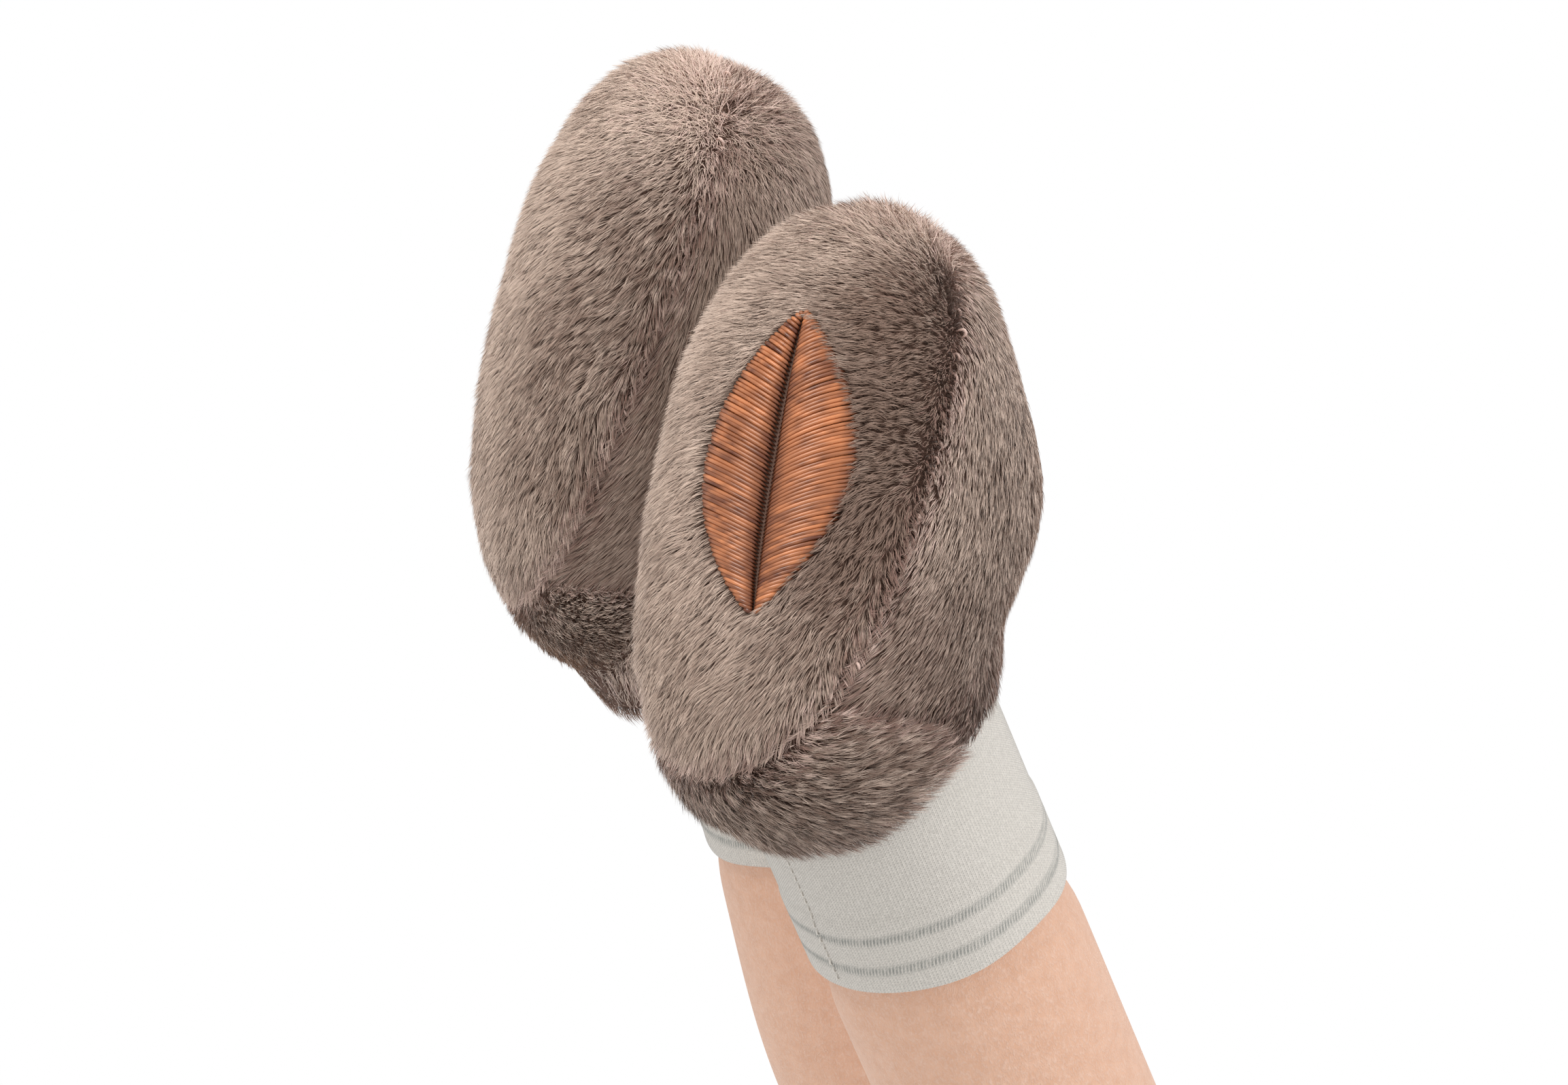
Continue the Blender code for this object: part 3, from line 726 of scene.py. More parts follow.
def backing_finish(look):
    """The dark knitted ground of the plush, with the brushed nap's fibres. Its dark is the pile's root
    colour, which is partly painted shade deep in the pile.
    """
    made = bpy.data.materials.get("plush_backing")
    if made:
        return made
    made, nodes, shader = finish_of("plush_backing")
    nap = nodes.add("ShaderNodeGroup", node_tree=brushed_nap())
    lift = tuple(0.6 * root + 0.4 * tip for root, tip in zip(look.root, look.seam_dark))
    nodes.feed(shader.inputs, {
        "Base Color": nodes.mix(nap.outputs["Fibre"], opaque(look.root), opaque(lift)),
        "Roughness": nodes.spread(nap.outputs["Blotch"], 0.0, 1.0, 0.85, 1.0),
    })
    bumped(nodes, shader, nap.outputs["Height"], 0.0004, 0.6)
    return made


def velour_finish(look):
    """Brushed peach fabric: blotches of the nap, pale fibres over them, and a soft sheen at the edges."""
    made = bpy.data.materials.get("peach_velour")
    if made:
        return made
    made, nodes, shader = finish_of("peach_velour")
    nap = nodes.add("ShaderNodeGroup", node_tree=brushed_nap())
    ground = nodes.mix(nap.outputs["Blotch"], opaque(look.dark), opaque(look.light))
    pale = tuple(0.35 + 0.65 * part for part in look.light)
    fibre = nodes.math("MULTIPLY", nap.outputs["Fibre"], 0.35)
    nodes.feed(shader.inputs, {
        "Base Color": nodes.mix(fibre, ground, opaque(pale)),
        "Roughness": nodes.spread(nap.outputs["Fibre"], 0.0, 1.0, 0.95, 0.8),
        "Sheen Weight": 0.30, "Sheen Roughness": 0.45, "Sheen Tint": opaque((1.0, 0.93, 0.88)),
        "Specular IOR Level": 0.2,
    })
    bumped(nodes, shader, nap.outputs["Height"], 0.0003, 0.5)
    return made


def knit_finish(look):
    """Fine knit on a map of wales round the cuff and metres below the hem edge: each wale is a column of
    slanted stitches, and two stripes of darker yarn show as a slanted tick in each wale. The yarn is painted
    darker, towards the stripe's colour, in the low valleys between ribs and loops: painted shade."""
    made = bpy.data.materials.get("pale_knit")
    if made:
        return made
    made, nodes, shader = finish_of("pale_knit")
    parts = nodes.add(
        "ShaderNodeSeparateXYZ", {0: nodes.add("ShaderNodeUVMap", uv_map="knit").outputs[0]}
    ).outputs
    off = nodes.apart(nodes.math("FRACT", parts[0]), 0.5)
    course = nodes.math("DIVIDE", parts[1], look.wale * 0.8)
    slant = nodes.math("FRACT", nodes.math("ADD", course, nodes.math("MULTIPLY", off, 1.4)))
    loop = nodes.spread(nodes.apart(slant, 0.5), 0.10, 0.48, 1.0, 0.0)
    rib = nodes.spread(off, 0.20, 0.50, 1.0, 0.0)
    height = nodes.math("ADD", nodes.math("MULTIPLY", loop, 0.45), nodes.math("MULTIPLY", rib, 0.55))
    level = nodes.math("DIVIDE", parts[1], look.stripe_width)
    tick = nodes.math("FRACT", nodes.math("ADD", parts[0], nodes.math("MULTIPLY", level, 1.2)))
    tick = nodes.spread(nodes.apart(tick, 0.5), 0.12, 0.42, 1.0, 0.20)
    soft_edge = look.stripe_width * 0.08, look.stripe_width * 0.66
    bands = [
        nodes.spread(nodes.apart(parts[1], centre), *soft_edge, 1.0, 0.0)
        for centre in (look.lower, look.upper)
    ]
    where = nodes.add("ShaderNodeTexCoord").outputs["Object"]
    patchy = nodes.spread(nodes.noise(where, 900.0, 2.0), 0.35, 0.62, 0.60, 1.0)
    stripe = nodes.math("MULTIPLY", nodes.math("MULTIPLY", nodes.math("MAXIMUM", *bands), patchy), tick)
    speck = nodes.noise(where, 2600.0, 2.0)
    dim = tuple(0.84 * part for part in look.yarn)
    yarn = nodes.mix(nodes.spread(speck, 0.30, 0.70), opaque(dim), opaque(look.yarn))
    # Painted shade: the yarn darkens towards the stripe's colour where the knit's height is low.
    shade = nodes.mix(nodes.spread(height, 0.05, 0.7, 0.40, 0.0), yarn, opaque(look.stripe))
    nodes.feed(shader.inputs, {
        "Base Color": nodes.mix(stripe, shade, opaque(look.stripe)),
        "Roughness": nodes.spread(speck, 0.3, 0.7, 0.95, 0.8),
        "Sheen Weight": 0.15, "Specular IOR Level": 0.25,
    })
    bumped(nodes, shader, height, 0.00018, 0.7)
    return made


# Hem band
BAND_COLUMNS, BAND_STEPS, BAND_CROWN = 161, 9, 0.7
PUCKER_REACH, PUCKER_DEPTH, FINE_PUCKER_DEPTH = 0.006, 0.00022, 0.00012
TOPSTITCH_HALF, TOPSTITCH_LIFT, TOPSTITCH_RADIUS = 0.0015, 0.0005, 0.00038


def band_profile(steps):
    """The folded strip's section, front to back over the crease: out along a rounded U and back inside it."""
    outer, inner = BAND_THICKNESS / 2, BAND_THICKNESS / 2 - BAND_WALL
    turn = np.linspace(np.pi, 0, steps)
    drop = np.linspace(-BAND_HEIGHT, -outer, steps)[:-1]
    crown = np.sign(np.cos(turn)) * np.abs(np.cos(turn)) ** BAND_CROWN, np.sin(turn) ** BAND_CROWN
    out_y = np.concatenate((np.full(steps - 1, -outer), outer * crown[0], np.full(steps - 1, outer)))
    out_z = np.concatenate((drop, -outer + outer * crown[1], drop[::-1]))
    fold = -BAND_WALL - inner
    rise = np.linspace(-BAND_HEIGHT, fold, steps)[:-1]
    in_y = np.concatenate((np.full(steps - 1, inner), inner * np.cos(turn[::-1]), np.full(steps - 1, -inner)))
    in_z = np.concatenate((rise, fold + inner * np.sin(turn), rise[::-1]))
    return np.concatenate((out_y, in_y)), np.concatenate((out_z, in_z))


def make_hem_band(look):
    """The U profile carried along X, with shallow puckers that grow towards the topstitching."""
    y, z = band_profile(BAND_STEPS)
    x = np.linspace(-BAND_WIDTH / 2, BAND_WIDTH / 2, BAND_COLUMNS)
    points = np.stack(np.broadcast_arrays(x[:, None], y, z), -1)
    sewn = bell(z + BAND_HEIGHT - TOPSTITCH_RISE, PUCKER_REACH)
    ripple = PUCKER_DEPTH * np.sin(x / TOPSTITCH_PITCH * np.pi * 0.9)
    ripple = ripple + FINE_PUCKER_DEPTH * np.sin(x * 310.0 + 1.0)
    points[..., 1] += ripple[:, None] * sewn * np.sign(y)
    ends = np.stack([np.arange(len(y)) + k * len(y) for k in (0, BAND_COLUMNS - 1)])
    half = len(y) // 2
    walls = []
    for ring, flip in zip(ends, (True, False)):
        outer, inner = ring[:half], ring[half:][::-1]
        quads = np.stack((outer[:-1], outer[1:], inner[1:], inner[:-1]), -1)
        walls.append(quads[:, ::-1] if flip else quads)
    faces = [grid_quads(BAND_COLUMNS, len(y))[:, ::-1], *walls]
    return mesh_object("hem_band_cloth", points.reshape(-1, 3), faces, velour_finish(look))


class PUPPETLEGS_OT_hem_band(bpy.types.Operator):
    """Make the folded band of body fabric that the legs are sewn into"""

    bl_idname = "puppet_legs.hem_band"
    bl_label = "Hem band"

    def execute(self, context):
        band = make_hem_band(context.scene.puppet_legs.velour)
        soften(band)
        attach(band, "hem")
        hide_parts("hem_band")
        return {"FINISHED"}


class PUPPETLEGS_OT_topstitch(bpy.types.Operator):
    """Sew a row of stitches along each face of the hem band"""

    bl_idname = "puppet_legs.topstitch"
    bl_label = "Topstitching"

    def execute(self, context):
        count = round((BAND_WIDTH - 2 * TOPSTITCH_RISE) / TOPSTITCH_PITCH)
        x = (np.arange(count) - (count - 1) / 2) * TOPSTITCH_PITCH
        for face, way in (("front", -1), ("back", 1)):
            level = np.full(count, -BAND_HEIGHT + TOPSTITCH_RISE)
            depth = np.full(count, way * BAND_THICKNESS / 2)
            start = np.stack((x - TOPSTITCH_HALF, depth, level), -1)
            end = np.stack((x + TOPSTITCH_HALF, depth, level), -1)
            out = np.tile((0.0, float(way), 0.0), (count, 1))
            tones = np.random.default_rng(5).uniform(0.2, 0.9, count) * 0.75
            row = threads(
                f"hem_topstitch_{face}_thread", stitches(start, end, out, TOPSTITCH_LIFT, TOPSTITCH_LIFT),
                out[:, None], TOPSTITCH_RADIUS, tones, peach_finish(context.scene.puppet_legs.velour),
            )
            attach(row, "hem")
            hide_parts(f"hem_topstitch_{face}")
        return {"FINISHED"}


# Legs
def sagged(points, foot):
    """Points of a leg moved as its slack fill lets it sag: one wave of a sine in Y over its heights."""
    share = (points[..., 2] - HIP_Z + LEG_LENGTH - SAG_START) / (SAG_END - SAG_START)
    sway = np.where((share > 0) & (share < 1), np.sin(2 * np.pi * share), 0.0)
    return points - np.stack((0 * sway, foot["sag"] * sway, 0 * sway), -1)


def leg_radius(below, reach):
    """Radius of the round leg: gripped under the cuff, easing out over it, narrow at the ankle."""
    up = LEG_LENGTH - below
    free = GRIP_RADIUS + (LEG_RADIUS - GRIP_RADIUS) * ease((up - reach) / LEG_SWELL)
    return ANKLE_RADIUS + (free - ANKLE_RADIUS) * ease((up - ANKLE_NECK) / (reach - CUFF_GRIP - ANKLE_NECK))


def leg_section(below, reach):
    """Half width and half depth of the leg: flat at its top, easing to round over the taper."""
    rounding = ease((below - LEG_TOP_FLAT) / LEG_TOP_TAPER)
    radius = leg_radius(below, reach)
    flat = np.where(below < 0, LEG_FABRIC, LEG_BEAD)
    wide = LEG_TOP_WIDTH / 2 + (radius - LEG_TOP_WIDTH / 2) * rounding
    return wide, flat + (radius - flat) * rounding


LEG_COLUMNS, LEG_ROWS, LEG_END_ROWS = 72, (8, 9, 48), 8
LEG_FOLD_TOP, LEG_FOLD_END = -0.004, 0.006
GATHER_FROM, GATHER_GROW, GATHER_UNTIL, GATHER_FADE = 0.002, 0.008, 0.010, 0.011
GATHERS, FINE_GATHERS, FINE_SHARE, GATHER_DEPTH = 13, 21, 0.6, 0.028
PINCH_ANGLE, PINCH_FROM, PINCH_DEPTH = 0.045, 0.004, 0.0006
STUFF_PRESSURE, STUFF_FRAMES, STUFF_MOST = 4.0, 20, 0.0010
INSEAM_FROM, INSEAM_SHORT, INSEAM_PITCH, INSEAM_HALF = 0.008, 0.004, 0.0034, 0.0011
INSEAM_LIFT, INSEAM_DIP, INSEAM_RADIUS = -0.0001, 0.0006, 0.00024


def leg_levels():
    """Distances below the hip of the leg's rings, from inside the band to the ankle."""
    return np.concatenate((
        np.linspace(HIP_Z + BAND_WALL + SEAT, LEG_FOLD_TOP, LEG_ROWS[0], endpoint=False),
        np.linspace(LEG_FOLD_TOP, LEG_FOLD_END, LEG_ROWS[1], endpoint=False),
        np.linspace(LEG_FOLD_END, LEG_LENGTH, LEG_ROWS[2]),
    ))


def make_leg(name, foot, look):
    """Oval sections down the leg and a round end, gathered below the flat top and pinched along the inner
    seam: the gathers are two waves round the leg that fade down it."""
    below = leg_levels()
    wide, deep = leg_section(below, foot["reach"])
    latitude = np.linspace(0, np.pi / 2, LEG_END_ROWS)[1:-1]
    level = np.concatenate((below, LEG_LENGTH + ANKLE_RADIUS * np.sin(latitude)))
    wide = np.concatenate((wide, ANKLE_RADIUS * np.cos(latitude)))
    deep = np.concatenate((deep, ANKLE_RADIUS * np.cos(latitude)))
    turn = np.arange(LEG_COLUMNS) / LEG_COLUMNS * 2 * np.pi
    fade = np.clip((level - GATHER_FROM) / GATHER_GROW, 0, 1)
    fade = fade * np.exp(-np.clip(level - GATHER_UNTIL, 0, None) / GATHER_FADE)
    wave = np.sin(turn * GATHERS + 0.6) + FINE_SHARE * np.sin(turn * FINE_GATHERS + 2.0 * foot["side"])
    swell = 1 + GATHER_DEPTH * fade[:, None] * wave
    points = np.stack((
        hip_x(foot) + wide[:, None] * np.cos(turn) * swell,
        deep[:, None] * np.sin(turn) * swell,
        np.broadcast_to(HIP_Z - level[:, None], (len(level), LEG_COLUMNS)),
    ), -1)
    inner = np.pi if foot["side"] > 0 else 0.0
    near = bell(np.angle(np.exp(1j * (turn - inner))), PINCH_ANGLE)
    free = ((level > PINCH_FROM) & (level < LEG_LENGTH - foot["reach"])).astype(float)
    points[..., 0] += foot["side"] * PINCH_DEPTH * near * free[:, None]
    flat = points.reshape(-1, 3)
    middle = np.array((hip_x(foot), 0.0, 0.0))
    tips = np.stack((middle + (0, 0, HIP_Z - level[0]), middle + (0, 0, HIP_Z - LEG_LENGTH - ANKLE_RADIUS)))
    ring = np.arange(LEG_COLUMNS)
    faces = [
        grid_quads(len(level), LEG_COLUMNS),
        cap(ring, len(flat), False),
        cap(ring + len(flat) - LEG_COLUMNS, len(flat) + 1, True),
    ]
    points = sagged(np.concatenate((flat, tips)), foot)
    made = mesh_object(f"{name}_leg_cloth", points, faces, velour_finish(look))
    held = np.repeat((level < LEG_FOLD_END) | (level > LEG_LENGTH - foot["reach"]), LEG_COLUMNS)
    return made, np.concatenate((held, (True, True)))


def stuff(skin, held, most):
    """Lets the fill press a skin out: a cloth simulation under pressure with the held points pinned, after
    which no point has moved further than most."""
    mesh = skin.data
    before = np.zeros(len(mesh.vertices) * 3, np.float32)
    mesh.vertices.foreach_get("co", before)
    before = before.reshape(-1, 3)
    pins = skin.vertex_groups.new(name="held")
    pins.add(np.flatnonzero(held).tolist(), 1.0, "REPLACE")
    cloth = skin.modifiers.new("stuffing", "CLOTH")
    cloth.settings.use_pressure = True
    cloth.settings.uniform_pressure_force = STUFF_PRESSURE
    cloth.settings.effector_weights.gravity = 0.0
    cloth.settings.vertex_group_mass = "held"
    cloth.collision_settings.use_collision = False
    scene = bpy.context.scene
    for step in range(STUFF_FRAMES):
        scene.frame_set(step + 1)
    swollen = skin.evaluated_get(bpy.context.evaluated_depsgraph_get())
    after = np.zeros_like(before).ravel()
    swollen.data.vertices.foreach_get("co", after)
    skin.modifiers.remove(cloth)
    skin.vertex_groups.remove(pins)
    scene.frame_set(1)
    move = after.reshape(-1, 3) - before
    far = np.linalg.norm(move, axis=1, keepdims=True)
    move *= np.minimum(1, most / np.maximum(far, 1e-9))
    mesh.vertices.foreach_set("co", (before + move).astype(np.float32).ravel())
    mesh.update()


class PUPPETLEGS_OT_legs(bpy.types.Operator):
    """Make the stuffed legs, from their flat tops in the band to their round ends in the slippers"""

    bl_idname = "puppet_legs.legs"
    bl_label = "Legs"

    def execute(self, context):
        for name, foot in FEET.items():
            leg, held = make_leg(name, foot, context.scene.puppet_legs.velour)
            stuff(leg, held, STUFF_MOST)
            soften(leg)
            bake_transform(leg)
            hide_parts(f"{name}_leg_skin", f"{name}_leg_stuffing", f"{name}_leg_tab")
        return {"FINISHED"}


class PUPPETLEGS_OT_inseams(bpy.types.Operator):
    """Sew the inner seam of each leg"""

    bl_idname = "puppet_legs.inseams"
    bl_label = "Inner leg seams"

    def execute(self, context):
        for name, foot in FEET.items():
            below = np.arange(INSEAM_FROM, LEG_LENGTH - foot["reach"] - INSEAM_SHORT, INSEAM_PITCH)
            rows = []
            for shift in (-INSEAM_HALF, INSEAM_HALF):
                wide, _ = leg_section(below + shift, foot["reach"])
                x = foot["side"] * (HIP_SPACING / 2 - wide)
                rows.append(np.stack((x, np.zeros_like(x), HIP_Z - below - shift), -1))
            out = np.tile((-foot["side"], 0.0, 0.0), (len(below), 1))
            tones = np.random.default_rng(foot["seed"]).uniform(0.1, 0.75, len(below))
            seam = threads(
                f"{name}_inseam_thread", sagged(stitches(*rows, out, INSEAM_LIFT, INSEAM_DIP), foot),
                out[:, None], INSEAM_RADIUS, tones, peach_finish(context.scene.puppet_legs.velour),
            )
            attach(seam, f"{name}_leg")
            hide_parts(f"{name}_leg_inseam")
        return {"FINISHED"}


# Cuffs
CUFF_STEP_ABOVE, CUFF_STEP = 0.0006, 0.0018
CUFF_ROWS, CUFF_INSIDE_ROWS, CUFF_LIP_ANGLES, WALE_COLUMNS = 52, 9, (150, 120, 90, 60, 30), 4
RIB_RISE, CUFF_WANDER, CUFF_FINE_WANDER = 0.00005, 0.00018, 0.00012
HEM_WANDER, HEM_WANDER_REACH = 0.00025, 0.004
CUFF_SEAM_FROM, CUFF_SEAM_SHORT, CUFF_SEAM_PITCH = 0.016, 0.001, 0.0014
CUFF_SEAM_UNDER, CUFF_SEAM_SLANT, CUFF_SEAM_HALF = 0.0001, 0.00012, 0.0006
CUFF_SEAM_LIFT, CUFF_SEAM_DIP, CUFF_SEAM_RADIUS = 0.0001, 0.0003, 0.00013


def cuff_outer(height, reach):
    """The cuff's outer radius at heights above the ankle: the doubled hem, easing to the wall below it."""
    step = ease((reach - CUFF_HEM_FOLD + CUFF_STEP_ABOVE - height) / CUFF_STEP)
    return CUFF_OUTER - (CUFF_OUTER - CUFF_INNER - CUFF_WALL) * step


def cuff_profile(reach, steps):
    """The wall's section from the hem edge: down the outside, in, and up the inside; as radius and height
    above the ankle."""
    height = np.linspace(reach - CUFF_LIP, 0.0, steps)
    outer = cuff_outer(height, reach)
    lip = np.radians(CUFF_LIP_ANGLES)
    lip_radius = (CUFF_OUTER + CUFF_INNER) / 2 + (CUFF_OUTER - CUFF_INNER) / 2 * np.cos(lip)
    lip_height = reach - CUFF_LIP + CUFF_LIP * np.sin(lip)
    inner_height = np.linspace(0.0, reach - CUFF_LIP, CUFF_INSIDE_ROWS)
    radius = np.concatenate((lip_radius, outer, np.full(CUFF_INSIDE_ROWS, CUFF_INNER)))
    return radius, np.concatenate((lip_height, height, inner_height))


def make_cuff(name, foot, look):
    """The section turned about the leg: the outside is raised by a cosine over each wale, and a soft wave
    lets the hem edge wander."""
    wales = round(2 * np.pi * CUFF_OUTER / look.wale)
    columns = wales * WALE_COLUMNS
    radius, level = cuff_profile(foot["reach"], CUFF_ROWS)
    turn = np.arange(columns + 1) / columns * 2 * np.pi
    outside = (np.arange(len(radius)) < len(radius) - CUFF_INSIDE_ROWS)[:, None]
    ribs = RIB_RISE * np.cos(turn * wales) * outside
    wander = CUFF_WANDER * np.sin(turn * 3 + 1.0) + CUFF_FINE_WANDER * np.sin(turn * 7 + 2.0 * foot["side"])
    around = radius[:, None] + ribs + wander * ease(level / foot["reach"])[:, None]
    hem = ease((level - foot["reach"] + HEM_WANDER_REACH) / HEM_WANDER_REACH)[:, None]
    hem = hem * (HEM_WANDER * np.sin(turn * 5 + 0.4))
    points = ankle_of(foot) + np.stack((
        around * np.cos(turn), around * np.sin(turn), np.broadcast_to(level[:, None] + hem, around.shape)
    ), -1)
    below = np.broadcast_to((foot["reach"] - level)[:, None], around.shape)
    places = np.stack((np.broadcast_to(turn / (2 * np.pi) * wales, around.shape), below), -1)
    rows = len(radius)
    row, column = np.meshgrid(np.arange(rows), np.arange(columns), indexing="ij")
    after = (row + 1) % rows
    index = np.arange(columns + 1)
    index[-1] = 0
    corner = [(row, column), (after, column), (after, column + 1), (row, column + 1)]
    faces = np.stack([r * columns + index[c] for r, c in corner], -1).reshape(-1, 4)
    points = sagged(points[:, :-1].reshape(-1, 3), foot)
    made = mesh_object(f"{name}_cuff_knit", points, [faces], knit_finish(look))
    layer = made.data.uv_layers.new(name="knit")
    spots = np.stack([places[r, c] for r, c in corner], -2).reshape(-1, 2)
    layer.uv.foreach_set("vector", spots.astype(np.float32).ravel())
    return made


class PUPPETLEGS_OT_cuffs(bpy.types.Operator):
    """Knit the cuffs, each with its folded hem and its closing seam"""

    bl_idname = "puppet_legs.cuffs"
    bl_label = "Cuffs"

    def execute(self, context):
        legs = context.scene.puppet_legs
        for name, foot in FEET.items():
            centre = ankle_of(foot)
            cuff = make_cuff(name, foot, legs.knit)
            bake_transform(cuff)
            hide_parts(f"{name}_cuff")
            turn = math.radians(90 + foot["turn"] + CUFF_SEAM_TURN)
            out = np.array((math.cos(turn), math.sin(turn), 0.0))
            height = np.arange(CUFF_SEAM_FROM, foot["reach"] - CUFF_SEAM_SHORT, CUFF_SEAM_PITCH)
            middle = centre + out * (cuff_outer(height, foot["reach"]) - CUFF_SEAM_UNDER)[:, None]
            middle = middle + np.stack((0 * height, 0 * height, height), -1)
            half = np.array((-out[1], out[0], 0.0)) * CUFF_SEAM_SLANT + (0.0, 0.0, CUFF_SEAM_HALF)
            outs = np.tile(out, (len(height), 1))
            tones = np.random.default_rng(foot["seed"] + 1).uniform(0.66, 0.76, len(height))
            paths = stitches(middle - half, middle + half, outs, CUFF_SEAM_LIFT, CUFF_SEAM_DIP)
            seam = threads(
                f"{name}_cuff_seam_thread", sagged(paths, foot), outs[:, None], CUFF_SEAM_RADIUS, tones,
                yarn_finish(legs.knit),
            )
            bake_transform(seam)
            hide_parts(f"{name}_cuff_seam")
        return {"FINISHED"}


# Slippers
BODY_RINGS, BODY_SIDES, RIM_ROUNDS = 90, 96, 6


def slipper_mesh(rings, sides):
    """The slipper's grid with a point at each pole, its quads and its two end fans."""
    points = np.concatenate((slipper_grid(rings, sides).reshape(-1, 3), POLES))
    ring, last = np.arange(sides), rings * sides
    ends = cap(ring, last, False), cap(ring + last - sides, last + 1, True)
    return points, grid_quads(rings, sides), ends


def make_slipper_body(name, foot, look):
    """The swelling form drawn in along its seams by a bell curve, with its opening drawn up the leg, and a
    round socket pressed in for the leg: points over the opening go out to its rim where that is close, and
    otherwise down to its floor or to the ball of the ankle."""
    points, quads, ends = slipper_mesh(BODY_RINGS, BODY_SIDES)
    height, apart = from_leg(points, foot)
    inside = (apart < OPENING_RADIUS - RIM_SNAP) & (height > 0)
    rim = (apart < OPENING_RADIUS) & (height > 0) & ~inside
    for _ in range(RIM_ROUNDS):
        _, off = off_leg(points, foot)
        step = unit(off) * (OPENING_RADIUS - np.linalg.norm(off, axis=1, keepdims=True))
        points = np.where(rim[:, None], onto_slipper(points + step), points)
    points = drawn_up(points - outward(points) * (sunk(points, foot) + CLOTH_UNDER)[:, None], foot)
    _, off = off_leg(points, foot)
    apart = np.linalg.norm(off, axis=1)
    ball = np.sqrt(np.clip((ANKLE_RADIUS + 2 * SEAT) ** 2 - apart**2, 0, None))
    floor = -np.maximum(OPENING_DEPTH, ball)
    points = np.where(inside[:, None], off + floor[:, None] * leg_direction(foot), points)
    return mesh_object(f"{name}_slipper_body", placed(points, foot), [quads, *ends], backing_finish(look))


class PUPPETLEGS_OT_slipper_bodies(bpy.types.Operator):
    """Make the stuffed plush slippers under their pile"""

    bl_idname = "puppet_legs.slipper_bodies"
    bl_label = "Slipper bodies"

    def execute(self, context):
        for name, foot in FEET.items():
            body = make_slipper_body(name, foot, context.scene.puppet_legs.pile)
            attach(body, f"{name}_foot")
            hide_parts(f"{name}_slipper_stuffing")
        return {"FINISHED"}


ROOT_RINGS, ROOT_SIDES = 120, 96


def pile_roots(foot, per_mm2):
    """Random points spread evenly over the slipper: triangles of a fine grid picked by their areas, a random
    place in each, drawn onto the surface."""
    rng = np.random.default_rng(foot["seed"])
    grid, quads, ends = slipper_mesh(ROOT_RINGS, ROOT_SIDES)
    corners = grid[np.concatenate((quads[:, (0, 1, 2)], quads[:, (0, 2, 3)], *ends))]
    area = np.linalg.norm(np.cross(corners[:, 1] - corners[:, 0], corners[:, 2] - corners[:, 0]), axis=1) / 2
    count = int(area.sum() * 1e6 * per_mm2)
    picked = corners[rng.choice(len(area), count, p=area / area.sum())]
    one, two = rng.random((2, count, 1))
    flip = one + two > 1
    one, two = np.where(flip, 1 - one, one), np.where(flip, 1 - two, two)
    inside = picked[:, 0] + one * (picked[:, 1] - picked[:, 0]) + two * (picked[:, 2] - picked[:, 0])
    return onto_slipper(inside), rng


def panel_masks(points, foot):
    """Which points lie on each plush panel, clear of its seams."""
    sole, heel = above(SOLE_SEAM, points), above(HEEL_SEAM, points)
    upper = (sole > SEAM_CLEAR) & (np.abs(points[:, 0]) > SEAM_CLEAR)
    outer = points[:, 0] * foot["side"] < 0
    return {
        "sole": sole < -SEAM_CLEAR,
        "outer_side": upper & (heel > SEAM_CLEAR) & outer,
        "inner_side": upper & (heel > SEAM_CLEAR) & ~outer,
        "heel": (sole > SEAM_CLEAR) & (heel < -SEAM_CLEAR),
    }


def panel_room(points, panel, foot):
    """How far points lie inside a panel: the least distance to its seams, and on the left sole to its leaf
    too."""
    sole, heel, across = above(SOLE_SEAM, points), above(HEEL_SEAM, points), points[..., 0] * foot["side"]
    if panel == "sole":
        return np.minimum(-sole, outside_leaf(points)) if foot["side"] > 0 else -sole
    if panel == "heel":
        return np.minimum(sole, -heel)
    return np.minimum(np.minimum(sole, heel), -across if panel == "outer_side" else across)


def along_cloth(vectors, out):
    """What is left of vectors without their parts along the outward directions."""
    return vectors - out * (vectors * out).sum(1)[:, None]


def turned_with(vector, faces, out):
    """A direction on a flat panel, carried over the curved form: turned as the panel's own facing turns to
    each outward direction by the shortest way."""
    both = faces + out
    return vector - both * ((out @ vector) / np.maximum(1 + out @ faces, 0.05))[:, None]


# Strands: the shares along one that it has points at, and its half widths there; how near a seam, the toe
# and the opening's rim count as near; where the sole is parted into lumps and darkened with painted shade,
# as a start and a reach in shares of its half width and half length
STRAND_SHARES = np.array((0.0, 0.5, 1.0))
STRAND_WIDTHS = np.array((0.5, 0.42))
SEAM_OVERLAP, SEAM_FALL, RIM_REACH, RIM_SHARE = 0.0018, 0.0032, 0.0028, 0.55
SEAM_NEAR, SEAM_NEAR_TOE = 0.0026, 0.0030
PARTED_ASIDE, PARTED_BACK, PARTED_AHEAD = (0.10, 0.5), (0.75, 0.5), (0.45, 0.4)

# Random straying: blotches that turn, lengthen, lift and shade strands, each with a size, a seed and an
# amount, and spreads from strand to strand
WIDE_TURN, FINE_TURN = (0.0120, 31, 0.7), (0.0030, 32, 0.6)
LONGER, LIFTED = (0.0060, 33, 0.30), (0.0045, 34, 0.35)
BLOTCH_SIZE, BLOTCH_SEED, BLOTCH_SHADE = 0.0075, 50, 0.30
STRAY_TURN, TOE_TURN, STRAY_LIFT, STRAY_TONE = 0.12, 1.3, 0.10, 0.10
STRAND_LENGTHS, STRAND_THICKS, STRAND_TWIST = (0.75, 1.10), (0.75, 1.25), 0.6

# How strands stand up at a seam, how those that would cross one are shortened and raised, and how they
# gather in tufts and lumps
SEAM_LIFT, LOOK_AHEAD, CROSS_LEAST, CROSS_SHORTER, CROSS_LIFT = 0.35, 0.8, 0.25, 0.2, 0.6
TUFT_SEED, LUMP_SEED, TUFT_POWER = 40, 60, 1.3
LUMP_SEAM, LUMP_TOE, LUMP_PARTED, LUMP_VARY = 0.55, 0.8, 0.55, 0.6

